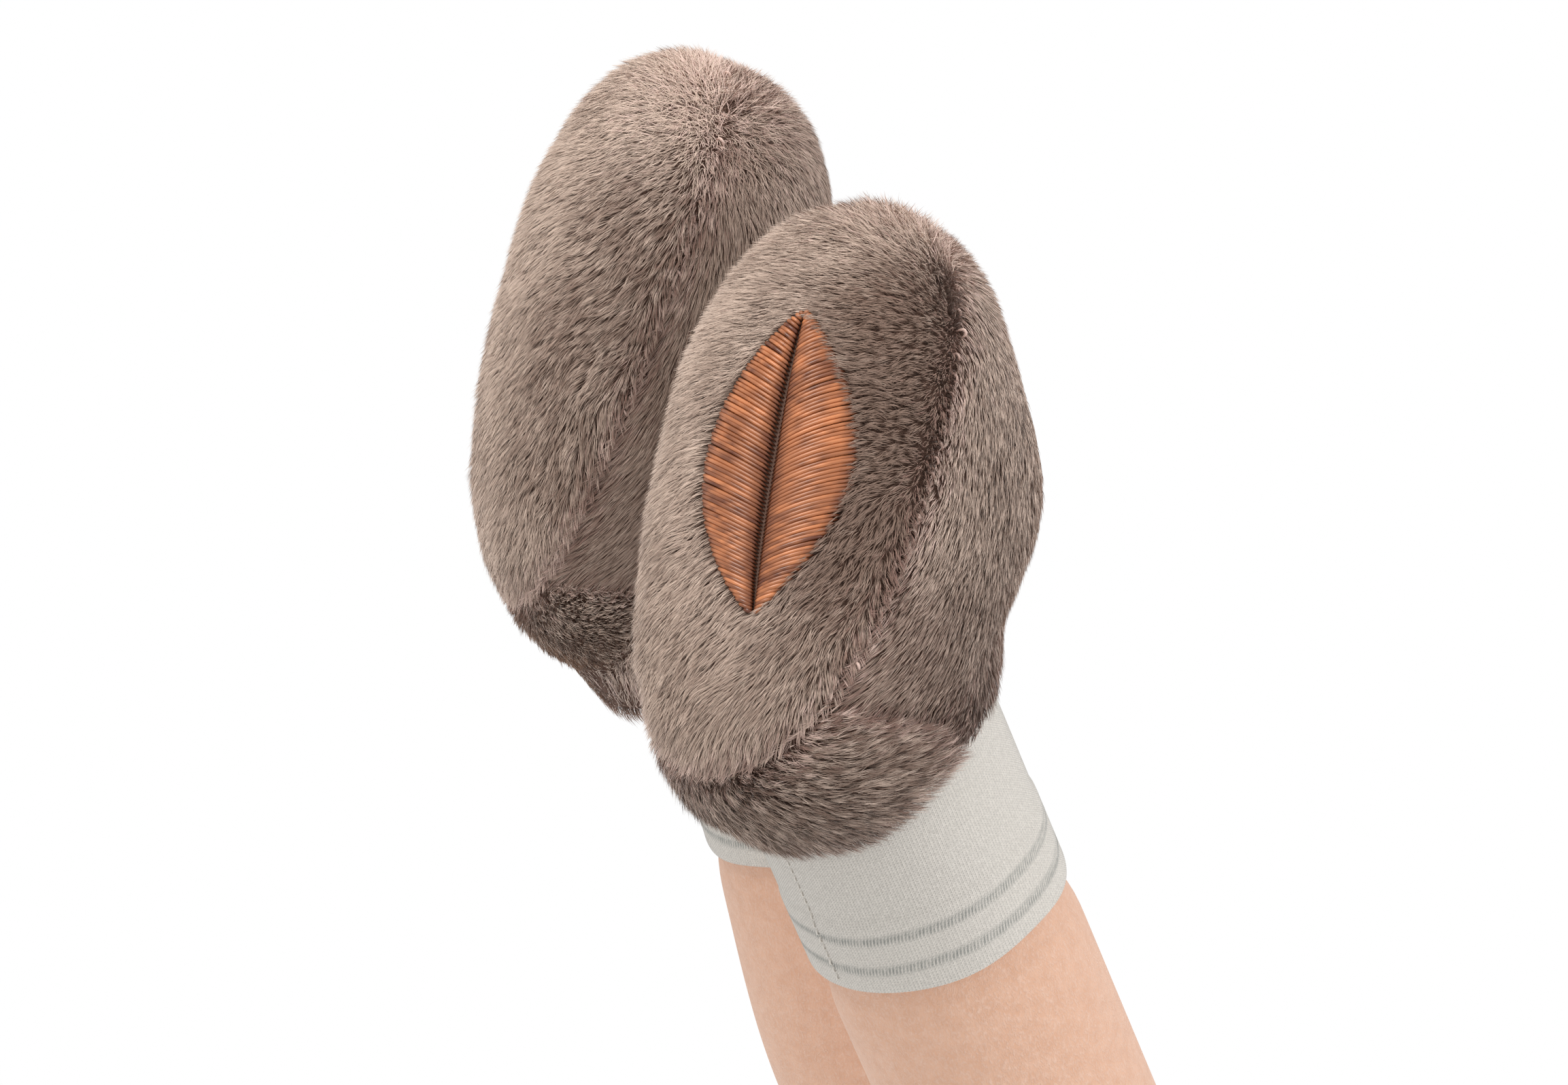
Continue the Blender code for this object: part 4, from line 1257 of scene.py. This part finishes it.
# Shades: the fade to the heel, the sole's side painted paler where light falls on it (painted light), pale
# roots with less painted shade, the toe's lighter strands, the seams' pink ones, a strand's two edges and how
# far its shading follows the cloth; and the room left at the cuff and leaf
FADE_FROM, FADE_OVER, SOLE_LIT_SIDE_PAINTED_PALER = 0.05, 0.45, 0.10
PALE_SEAM, PALE_TOE, TOE_LIGHTER, PINK_SEAM, PINK_TOE = 0.65, 0.88, 0.25, 0.7, 0.6
PINK_SPREAD, PINK_LEAST, PINK_MOST = 0.25, 0.82, 0.98
TONE_SIDES, SOFT_OUT, SOFT_OWN = 0.006, 0.7, 0.3
CUFF_CLEAR, CUFF_CLEAR_SPREAD, LEAF_COVER = 0.0002, 0.0008, 0.0005


def near_toe(points):
    """1 at the tip of the toe, less away from it on a bell curve."""
    return bell(np.linalg.norm(points - TOE, axis=-1), TOE_TUFT)


def near_seam(points, foot):
    """1 on a seam, less away from it on a bell curve that is wider round the tip of the toe; and in the same
    way on the rim of the opening."""
    height, apart = from_leg(points, foot)
    rim = np.where(height > 0, apart - OPENING_RADIUS, 1.0)
    sewn = bell(seam_distance(points), SEAM_NEAR + SEAM_NEAR_TOE * near_toe(points))
    return np.maximum(sewn, RIM_SHARE * bell(rim, RIM_REACH))


def parted_with_painted_shade(points):
    """1 on the one edge of the sole where the pile is parted into lumps and darkened with painted shade,
    easing to 0 away from it to the middle, the heel and the toe."""
    across = points[:, 0] / (SLIPPER_WIDTH / 2)
    along = (points[:, 1] - MIDDLE[1]) / (SLIPPER_LENGTH / 2)
    aside = ease((-across - PARTED_ASIDE[0]) / PARTED_ASIDE[1])
    back = ease((along + PARTED_BACK[0]) / PARTED_BACK[1])
    return aside * back * (1 - ease((along - PARTED_AHEAD[0]) / PARTED_AHEAD[1]))


def to_seam(points, out):
    """The way over the cloth to the nearest seam: against the slope of the distance."""
    return -unit(along_cloth(slope(seam_distance, points), out))


def to_tuft(roots, out, size, seed):
    """The way over the cloth from each root to the middle of its tuft, and the tuft's own random number."""
    spot, own = tufts(roots, size, seed)
    return along_cloth(spot - roots, out), own


def nap_of(panel, foot):
    """How a panel's pile lies on one foot."""
    return NAP[panel] | foot["nap"].get(panel, {})


def strands(roots, out, panel, foot, look, rng):
    """Paths of strands, three points each: from the root each step leaves the cloth at an angle that eases
    from the root's lean to the tip's, along the fall of the nap, which turns to the seam close to it. Strands
    that would cross a seam are shorter and stand up. The points then move towards the middle of their tuft,
    and by the seams and the toe of their larger lump too, more so near the tip. With the paths comes how far
    each strand's tuft and lump take its tone from the panel's."""
    nap, count = nap_of(panel, foot), len(roots)
    sided = np.array((foot["side"], 1.0, 1.0))
    faces = unit(np.array(nap["faces"]) * sided)
    falls = np.array(nap["falls"])
    along = turned_with(unit(falls - faces * (falls @ faces)), faces, out)
    along = unit(along_cloth(along, out))
    across = np.cross(out, along)
    inner = (roots - MIDDLE) / (SLIPPER_WIDTH / 2, SLIPPER_LENGTH / 2, 1.0)
    swing = inner[:, :2] @ np.array(nap["swing"])
    wander = sway(roots, *WIDE_TURN) + sway(roots, *FINE_TURN)
    toe = near_toe(roots)
    wander = swing + nap["stray"] * (wander + rng.normal(0, STRAY_TURN, count))
    wander = wander + toe * rng.normal(0, TOE_TURN, count)
    along = along * np.cos(wander)[:, None] + across * np.sin(wander)[:, None]
    close = bell(seam_distance(roots), SEAM_FALL)
    along = unit(along + (nap["turn"] * close)[:, None] * to_seam(roots, out))
    longer, stand = nap["toe"]
    size = look.long * nap["long"] * rng.uniform(*STRAND_LENGTHS, count)
    size = size * (1 + sway(roots, *LONGER))
    size = size * (1 + longer * foot["fluff"] * toe)
    lift = nap["stray"] * (rng.normal(0, STRAY_LIFT, count) + sway(roots, *LIFTED))
    lift = lift + np.maximum(SEAM_LIFT * near_seam(roots, foot), stand * toe)
    here = panel_room(roots, panel, foot)
    ahead = panel_room(roots + along * (LOOK_AHEAD * size)[:, None], panel, foot)
    share = np.where(ahead < -SEAM_OVERLAP, (here + SEAM_OVERLAP) / np.maximum(here - ahead, 1e-5), 1.0)
    share = np.clip(share, CROSS_LEAST, 1.0)
    size = size * (1 - CROSS_SHORTER + CROSS_SHORTER * share)
    lift = lift + CROSS_LIFT * (1 - share)
    first, last = np.radians(nap["lean"])
    path = [roots - out * CLOTH_UNDER]
    for start, end in zip(STRAND_SHARES, STRAND_SHARES[1:]):
        lean = first + (last - first) * (start + end) / 2 + lift
        step = along * np.cos(lean)[:, None] + out * np.sin(lean)[:, None]
        path.append(path[-1] + step * (size * (end - start))[:, None])
    path = np.stack(path, 1)
    tuft, own = to_tuft(roots, out, nap["tuft"], foot["seed"] + TUFT_SEED)
    lump, other = to_tuft(roots, out, LUMP, foot["seed"] + LUMP_SEED)
    loose = np.maximum(LUMP_SEAM * close, LUMP_TOE * toe)
    if panel == "sole":
        loose = np.maximum(loose, LUMP_PARTED * parted_with_painted_shade(roots))
    move = nap["pull"] * tuft + loose[:, None] * lump
    path = path + move[:, None] * (STRAND_SHARES**TUFT_POWER)[:, None]
    return path, nap["vary"] * (own - 0.5) + LUMP_VARY * loose * (other - 0.5)


def shades(roots, streak, panel, foot, rng):
    """Each strand's tone, and how far along its colours it starts at the root: the panel's shade, darker
    towards the heel, painted lighter towards the sole's lit side and darker with painted shade where the sole
    is parted, with blotches and random steps; strands by the seams and the toe start paler, with less painted
    shade at the root, and a share of them take the seams' tones."""
    nap, count = nap_of(panel, foot), len(roots)
    near, toe = near_seam(roots, foot), near_toe(roots)
    back = (MIDDLE[1] - roots[:, 1]) / (SLIPPER_LENGTH / 2)
    shade = nap["shade"] - nap["fade"] * ease((back - FADE_FROM) / FADE_OVER)
    pale = np.full(count, nap["pale"])
    if panel == "sole":
        # Painted light and shade: the sole is painted paler towards its lit side and darker where its pile is
        # parted.
        shade = shade + SOLE_LIT_SIDE_PAINTED_PALER * roots[:, 0] / (SLIPPER_WIDTH / 2) - foot["parted_with_painted_shade"] * parted_with_painted_shade(roots)
        pale = pale * (1 - parted_with_painted_shade(roots))
    pale = np.maximum(pale, np.maximum(PALE_SEAM * near, PALE_TOE * toe))
    tone = shade + streak + sway(roots, BLOTCH_SIZE, foot["seed"] + BLOTCH_SEED, BLOTCH_SHADE)
    tone = np.clip(tone + rng.normal(0, STRAY_TONE, count) + TOE_LIGHTER * toe, TONE_LEAST, TONE_MOST)
    pink = rng.random(count) < np.maximum(PINK_SEAM * near, PINK_TOE * toe)
    return np.where(pink, np.clip(SEAM_FROM + PINK_SPREAD * tone, PINK_LEAST, PINK_MOST), tone), pale


def keep_off_cuff(path, foot, rng):
    """Pushes points of strands that would enter the cuff out to just over it, all round the leg."""
    height, off = off_leg(path, foot)
    apart = np.linalg.norm(off, axis=-1)
    clear = CUFF_OUTER + CUFF_CLEAR + CUFF_CLEAR_SPREAD * rng.random(len(path))[:, None]
    push = np.where((height > 0) & (apart < clear), clear / np.maximum(apart, 1e-6), 1.0)
    return path + off * (push - 1)[..., None]


def ribbons(name, path, out, tones, pale, thick, rng, foot, finish):
    """Flat tapered strands: at two points of a path a pair of points to both sides, and one point at the tip;
    the sides are turned a little about the strand at random. The map holds the tone, and the share along the
    strand, which starts higher where the root is pale, so that less painted shade darkens the root."""
    count = len(path)
    along = unit(np.gradient(path, axis=1))
    side = unit(np.cross(along, out[:, None]))
    rise = np.cross(side, along)
    twist = rng.normal(0, STRAND_TWIST, count)[:, None, None]
    side = side * np.cos(twist) + rise * np.sin(twist)
    width = STRAND_WIDTHS * (thick * rng.uniform(*STRAND_THICKS, count))[:, None]
    pairs = path[:, :2, None] + side[:, :2, None] * (width[:, :, None] * np.array((-1, 1)))[..., None]
    points = np.concatenate((pairs.reshape(count, 4, 3), path[:, 2:]), 1)
    first = np.arange(count)[:, None] * 5
    quads, tips = first + (0, 1, 3, 2), first + (2, 3, 4)
    tone = tones[:, None] + np.array((-1, 1, -1, 1, 0)) * TONE_SIDES
    share = pale[:, None] + (1 - pale[:, None]) * np.repeat(STRAND_SHARES, (2, 2, 1))
    faced = np.cross(side, along)
    soft = unit(out[:, None] * SOFT_OUT + faced * SOFT_OWN)
    normals = np.repeat(soft, (2, 2, 1), axis=1).reshape(-1, 3) @ foot_axes(foot).T
    return mesh_object(
        name, placed(points.reshape(-1, 3), foot), [quads, tips], finish,
        {"OFBake": np.stack((tone, share), -1).reshape(-1, 2)}, normals,
    )


class PUPPETLEGS_OT_pile(bpy.types.Operator):
    """Plant the plush pile on every panel of both slippers"""

    bl_idname = "puppet_legs.pile"
    bl_label = "Plush pile"

    def execute(self, context):
        look = context.scene.puppet_legs.pile
        for name, foot in FEET.items():
            roots, rng = pile_roots(foot, look.per_mm2)
            keep = clear_of_opening(roots, foot)
            if foot["side"] > 0:
                keep &= (above(SOLE_SEAM, roots) > 0) | (outside_leaf(roots) > -LEAF_COVER)
            roots = roots[keep]
            out = outward(roots)
            for panel, mask in panel_masks(roots, foot).items():
                here, normal = roots[mask], out[mask]
                ground = here - normal * sunk(here, foot)[:, None]
                path, streak = strands(ground, normal, panel, foot, look, rng)
                path = keep_off_cuff(drawn_up(path, foot), foot, rng)
                tone, pale = shades(here, streak, panel, foot, rng)
                pile = ribbons(
                    f"{name}_{panel}_pile", path, normal, tone, pale, look.thick, rng, foot, pile_finish(look)
                )
                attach(pile, f"{name}_foot")
                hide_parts(f"{name}_slipper_{panel}")
        return {"FINISHED"}


RAY_REACH, RAY_HALVINGS = 0.1, 40
STITCH_SHOWS, STITCH_PROUD, STITCH_LOW = 0.07, 0.0013, 0.0002
SEAM_ROOM, SEAM_CROSS, SEAM_RUN = 0.001, 0.0006, 0.0004
SEAM_OVER, SEAM_DIP, SEAM_RADIUS = 0.0003, 0.0006, 0.00022


def seam_line(seam, ahead, count):
    """Points round the slipper in a seam's plane: rays turned about the plane's normal, and halving steps
    along each ray to the surface."""
    start, normal = seam
    first = unit(ahead - normal * (ahead @ normal))
    second = np.cross(normal, first)
    turn = np.arange(count) / count * 2 * np.pi
    ray = np.cos(turn)[:, None] * first + np.sin(turn)[:, None] * second
    near, far = np.zeros(count), np.full(count, RAY_REACH)
    for _ in range(RAY_HALVINGS):
        middle = (near + far) / 2
        inside = fullness(start + ray * middle[:, None]) < 1
        near, far = np.where(inside, middle, near), np.where(inside, far, middle)
    return start + ray * near[:, None]


class PUPPETLEGS_OT_slipper_seams(bpy.types.Operator):
    """Sew the panels of the slippers together along their seams"""

    bl_idname = "puppet_legs.slipper_seams"
    bl_label = "Slipper seams"

    def execute(self, context):
        toe, instep = np.array((0.0, 1.0, 0.0)), np.array((0.0, 0.0, 1.0))
        instep_seam = (MIDDLE, np.array((1.0, 0.0, 0.0)))
        for name, foot in FEET.items():
            rng = np.random.default_rng(foot["seed"] + 2)
            for label, seam, ahead, count, part in (
                ("sole_seam", SOLE_SEAM, toe, 64, lambda p: np.ones(len(p), bool)),
                ("instep_seam", instep_seam, toe, 72, lambda p: above(HEEL_SEAM, p) > SEAM_ROOM),
                ("heel_seam_outer", HEEL_SEAM, instep, 48, lambda p: p[:, 0] * foot["side"] < 0),
                ("heel_seam_inner", HEEL_SEAM, instep, 48, lambda p: p[:, 0] * foot["side"] > 0),
            ):
                line = seam_line(seam, ahead, count)
                clear = clear_of_opening(line, foot, SEAM_ROOM) & part(line)
                if label != "sole_seam":
                    clear &= above(SOLE_SEAM, line) > SEAM_ROOM
                out = outward(line)
                run = unit(np.roll(line, -1, 0) - np.roll(line, 1, 0))
                line, out, run = (values[clear] for values in (line, out, run))
                slant = seam[1] * SEAM_CROSS + run * SEAM_RUN
                proud = np.where(rng.random(len(line)) < STITCH_SHOWS, STITCH_PROUD, STITCH_LOW)
                middle = line - out * (sunk(line, foot) - SEAM_OVER)[:, None]
                paths = stitches(middle - slant, middle + slant, out, proud, SEAM_DIP)
                made = threads(
                    f"{name}_{label}_thread", placed(drawn_up(paths, foot), foot),
                    (out @ foot_axes(foot).T)[:, None], SEAM_RADIUS, rng.uniform(0.3, 0.75, len(line)),
                    pale_finish(context.scene.puppet_legs.pile),
                )
                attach(made, f"{name}_foot")
                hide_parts(f"{name}_{label}")
        return {"FINISHED"}


def under_sole(x, y):
    """The sole's height at places across and along: the lower side of the slipper's rounded section."""
    along = (y - MIDDLE[1]) / (SLIPPER_LENGTH / 2)
    full = (1 - np.abs(along) ** SLIPPER_FULLNESS) ** (1 / SLIPPER_FULLNESS)
    wide = SLIPPER_WIDTH / 2 * (1 - TOE_TAPER * along) * full
    high = SLIPPER_HEIGHT / 2 * (1 - TOE_TAPER / 2 * along) * full
    share = np.clip(1 - (np.abs(x) / wide) ** SLIPPER_ROUNDNESS, 0, 1) ** (1 / SLIPPER_ROUNDNESS)
    return np.stack((x, y, MIDDLE[2] - high * share), -1)


LEAF_STEPS, LEAF_SLANT, LEAF_UNEVEN, LEAF_EDGE_UNEVEN = 11, 0.5, 0.00005, 0.00010
LEAF_VEIN_SHARE, LEAF_DIVE, LEAF_THIN, LEAF_BULGE, LEAF_ARCH = 0.15, 0.0001, 0.35, 0.7, 0.55
# The threads' tone, and how far bundles, painted highlights and random steps sway it; how many bundles, and
# how the painted highlights are stretched across and along
LEAF_TONE, LEAF_BUNDLE, LEAF_GLINT, LEAF_STRAY = 0.40, 0.35, 0.55, 0.10
LEAF_BUNDLES, LEAF_GLINTS = 9, (700, 2500)


def make_leaf_half(label, way, foot, look):
    """Satin stitch: threads side by side from the vein slanting out to the leaf's edge, arched on a sine over
    the padding and diving into the sole at both ends. Their tones vary in bundles and at random, with painted
    highlights as lighter dashes along them."""
    rng = np.random.default_rng(60 + way)
    count = int(LEAF_LENGTH / look.thread)
    share = (np.arange(count) + 0.5) / count
    shift = LEAF_SLANT / 2 * leaf_edge(share)
    edge_along = np.minimum((share - 0.5) * LEAF_LENGTH + shift, LEAF_LENGTH / 2)
    edge_along = edge_along + rng.normal(0, LEAF_UNEVEN, count)
    vein_along = np.maximum((share - 0.5) * LEAF_LENGTH - shift, -LEAF_LENGTH / 2)
    reach = leaf_edge(edge_along / LEAF_LENGTH + 0.5)
    step = np.linspace(0, 1, LEAF_STEPS)
    vein = way * LEAF_VEIN * LEAF_VEIN_SHARE
    edge = way * (reach + rng.normal(0, LEAF_EDGE_UNEVEN, count))
    x = MIDDLE[0] + LEAF_ASIDE + vein + (edge - vein)[:, None] * step
    y = MIDDLE[1] + LEAF_AHEAD + vein_along[:, None] + (edge_along - vein_along)[:, None] * step
    ground = under_sole(x, y)
    out = outward(ground)
    bulk = LEAF_THIN + (1 - LEAF_THIN) * np.sin(np.pi * share) ** LEAF_BULGE
    bulk = bulk * rng.uniform(0.92, 1.08, count)
    arch = look.rise * bulk[:, None] * np.sin(np.pi * step) ** LEAF_ARCH - LEAF_DIVE
    paths = ground + out * arch[..., None]
    bundle = sway(np.stack((share * LEAF_BUNDLES, 0 * share, 0 * share), -1), 1.0, 71 + way, LEAF_BUNDLE)
    # Painted highlights: lighter dashes along the threads.
    painted_glints = sway(np.stack((x * LEAF_GLINTS[0], y * LEAF_GLINTS[1], 0 * x), -1), 1.0, 75 + way, LEAF_GLINT)
    tones = LEAF_TONE + bundle[:, None] + painted_glints + rng.normal(0, LEAF_STRAY, (count, 1))
    tones = np.clip(tones, TONE_LEAST, TONE_MOST)
    return threads(
        f"left_sole_leaf_{label}_stitch", placed(paths.reshape(-1, 3), foot).reshape(paths.shape),
        out @ foot_axes(foot).T, look.thread / 2 * rng.uniform(1.02, 1.22, count), tones, copper_finish(look),
    )


class PUPPETLEGS_OT_leaf(bpy.types.Operator):
    """Embroider the leaf on the left sole in two halves of satin stitch"""

    bl_idname = "puppet_legs.leaf"
    bl_label = "Sole leaf"

    def execute(self, context):
        for label, way in (("outer", -1), ("inner", 1)):
            half = make_leaf_half(label, way, FEET["left"], context.scene.puppet_legs.leaf)
            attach(half, "left_foot")
            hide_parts(f"left_sole_leaf_{label}")
        return {"FINISHED"}


# Stage
CAMERA_LENS, CAMERA_SENSOR = 135.0, 36.0
CAMERA_AZIMUTH, CAMERA_ELEVATION, CAMERA_ROLL = 99.2, -28.23, 156.63
CAMERA_RIGHT, CAMERA_UP = -0.0071, 0.0179
CAMERA_CLIP = 0.05, 50.0
FLOOR_Z, FLOOR_SIZE, FLOOR_POINTS = -1.2, 12.0, 5

# Each lamp: how far back, right and up of the left ankle it stands as the camera sees it, its size and tint
LAMPS = {
    "key": ((0.50, -0.40, 0.75), 0.5, (1.0, 0.985, 0.96)),
    "fill": ((0.35, 0.80, 0.25), 0.6, (0.97, 0.98, 1.0)),
}


def camera_axes():
    """Right, up and back of the camera: back from an azimuth and elevation, then rolled about it."""
    azimuth, rise, roll = (math.radians(x) for x in (CAMERA_AZIMUTH, CAMERA_ELEVATION, CAMERA_ROLL))
    back = np.array((math.sin(azimuth) * math.cos(rise), -math.cos(azimuth) * math.cos(rise), math.sin(rise)))
    level = np.array((math.cos(azimuth), math.sin(azimuth), 0.0))
    upright = np.cross(back, level)
    right = math.cos(roll) * level + math.sin(roll) * upright
    up = -math.sin(roll) * level + math.cos(roll) * upright
    return right, up, back


def area_lamp(name, place, target, size, power, tint):
    """A square soft lamp that faces a target."""
    lamp = bpy.data.lights.new(name, "AREA")
    lamp.shape, lamp.size, lamp.energy, lamp.color = "SQUARE", size, power, tint
    made = bpy.data.objects.new(name, lamp)
    made.location = place
    made.rotation_euler = Vector(target - place).to_track_quat("-Z", "Y").to_euler()
    bpy.context.scene.collection.objects.link(made)


def white_world(ambient):
    """A world that looks white to the camera and in gloss, and lights the object from all round."""
    world = bpy.data.worlds.new("studio")
    bpy.context.scene.world = world
    world.use_nodes = True
    nodes = Nodes(world.node_tree)
    path = nodes.add("ShaderNodeLightPath").outputs
    seen = nodes.math("MAXIMUM", path["Is Camera Ray"], path["Is Glossy Ray"])
    seen = nodes.math("MAXIMUM", seen, path["Is Transmission Ray"])
    strength = nodes.add("ShaderNodeMix", {0: seen, 2: ambient, 3: 1.0}, data_type="FLOAT").outputs[0]
    shade = world.node_tree.nodes["Background"]
    nodes.feed(shade.inputs, {"Color": (1.0, 1.0, 1.0, 1.0), "Strength": strength})


def make_floor(look):
    """A flat grid with a faint grain in its pale finish."""
    made, nodes, shader = finish_of("pale_floor")
    grain = nodes.noise(nodes.add("ShaderNodeTexCoord").outputs["Object"], 40.0, 4.0)
    dim = tuple(0.97 * part for part in look.floor)
    nodes.feed(shader.inputs, {
        "Base Color": nodes.mix(grain, opaque(dim), opaque(look.floor)),
        "Roughness": nodes.spread(grain, 0.3, 0.7, 0.8, 0.95),
    })
    line = np.linspace(-0.5, 0.5, FLOOR_POINTS) * FLOOR_SIZE
    x, y = np.meshgrid(line, line)
    points = np.stack((x, y, np.full_like(x, FLOOR_Z)), -1).reshape(-1, 3)
    first = np.arange(FLOOR_POINTS * FLOOR_POINTS).reshape(FLOOR_POINTS, -1)[:-1, :-1].ravel()
    quads = np.stack((first, first + 1, first + FLOOR_POINTS + 1, first + FLOOR_POINTS), -1)
    mesh_object("floor", points, [quads], made)


class PUPPETLEGS_OT_stage(bpy.types.Operator):
    """Set up the camera, the lamps, the white world and the floor"""

    bl_idname = "puppet_legs.stage"
    bl_label = "Stage"

    def execute(self, context):
        look = context.scene.puppet_legs.studio
        right, up, back = camera_axes()
        target = ankle_of(FEET["left"])
        lens = bpy.data.cameras.new("camera")
        lens.lens, lens.sensor_width = CAMERA_LENS, CAMERA_SENSOR
        lens.clip_start, lens.clip_end = CAMERA_CLIP
        camera = bpy.data.objects.new("camera", lens)
        place = target + look.distance * back + CAMERA_RIGHT * right + CAMERA_UP * up
        turned = Matrix(np.stack((right, up, back), -1).tolist()).to_4x4()
        camera.matrix_world = Matrix.Translation(place) @ turned
        context.scene.collection.objects.link(camera)
        context.scene.camera = camera
        for name, (steps, size, tint) in LAMPS.items():
            place = target + np.array(steps) @ (back, right, up)
            area_lamp(name, place, target, size, getattr(look, name), tint)
        white_world(look.ambient)
        make_floor(look)
        context.scene.view_settings.view_transform = "Standard"
        return {"FINISHED"}


OPERATORS = (
    PUPPETLEGS_OT_hem_band, PUPPETLEGS_OT_topstitch, PUPPETLEGS_OT_legs, PUPPETLEGS_OT_inseams,
    PUPPETLEGS_OT_cuffs, PUPPETLEGS_OT_slipper_bodies, PUPPETLEGS_OT_pile, PUPPETLEGS_OT_slipper_seams,
    PUPPETLEGS_OT_leaf, PUPPETLEGS_OT_stage,
)


class PUPPETLEGS_PT_pieces(bpy.types.Panel):
    """Lists the pieces of the puppet legs"""

    bl_idname = "PUPPETLEGS_PT_pieces"
    bl_label = "Puppet legs"
    bl_space_type = "VIEW_3D"
    bl_region_type = "UI"
    bl_category = "Puppet legs"

    def draw(self, context):
        legs = context.scene.puppet_legs
        for look in (legs.pile, legs.velour, legs.knit, legs.leaf, legs.studio):
            box = self.layout.box()
            for label in look.bl_rna.properties.keys():
                if label not in ("rna_type", "name"):
                    box.prop(look, label)
        for piece in OPERATORS:
            self.layout.operator(piece.bl_idname)


CLASSES = (
    PileLook, VelourLook, KnitLook, LeafLook, StudioLook, PuppetLegs, *OPERATORS, PUPPETLEGS_PT_pieces,
)


def register():
    """Adds the classes and the settings on the scene."""
    for each in CLASSES:
        bpy.utils.register_class(each)
    bpy.types.Scene.puppet_legs = PointerProperty(type=PuppetLegs)


def unregister():
    """Takes the settings and the classes away."""
    del bpy.types.Scene.puppet_legs
    for each in reversed(CLASSES):
        bpy.utils.unregister_class(each)


def main():
    """Makes every piece in order."""
    register()
    bpy.ops.puppet_legs.stage()
    bpy.ops.puppet_legs.hem_band()
    bpy.ops.puppet_legs.topstitch()
    bpy.ops.puppet_legs.legs()
    bpy.ops.puppet_legs.inseams()
    bpy.ops.puppet_legs.cuffs()
    bpy.ops.puppet_legs.slipper_bodies()
    bpy.ops.puppet_legs.pile()
    bpy.ops.puppet_legs.slipper_seams()
    bpy.ops.puppet_legs.leaf()


if __name__ == "__main__":
    main()
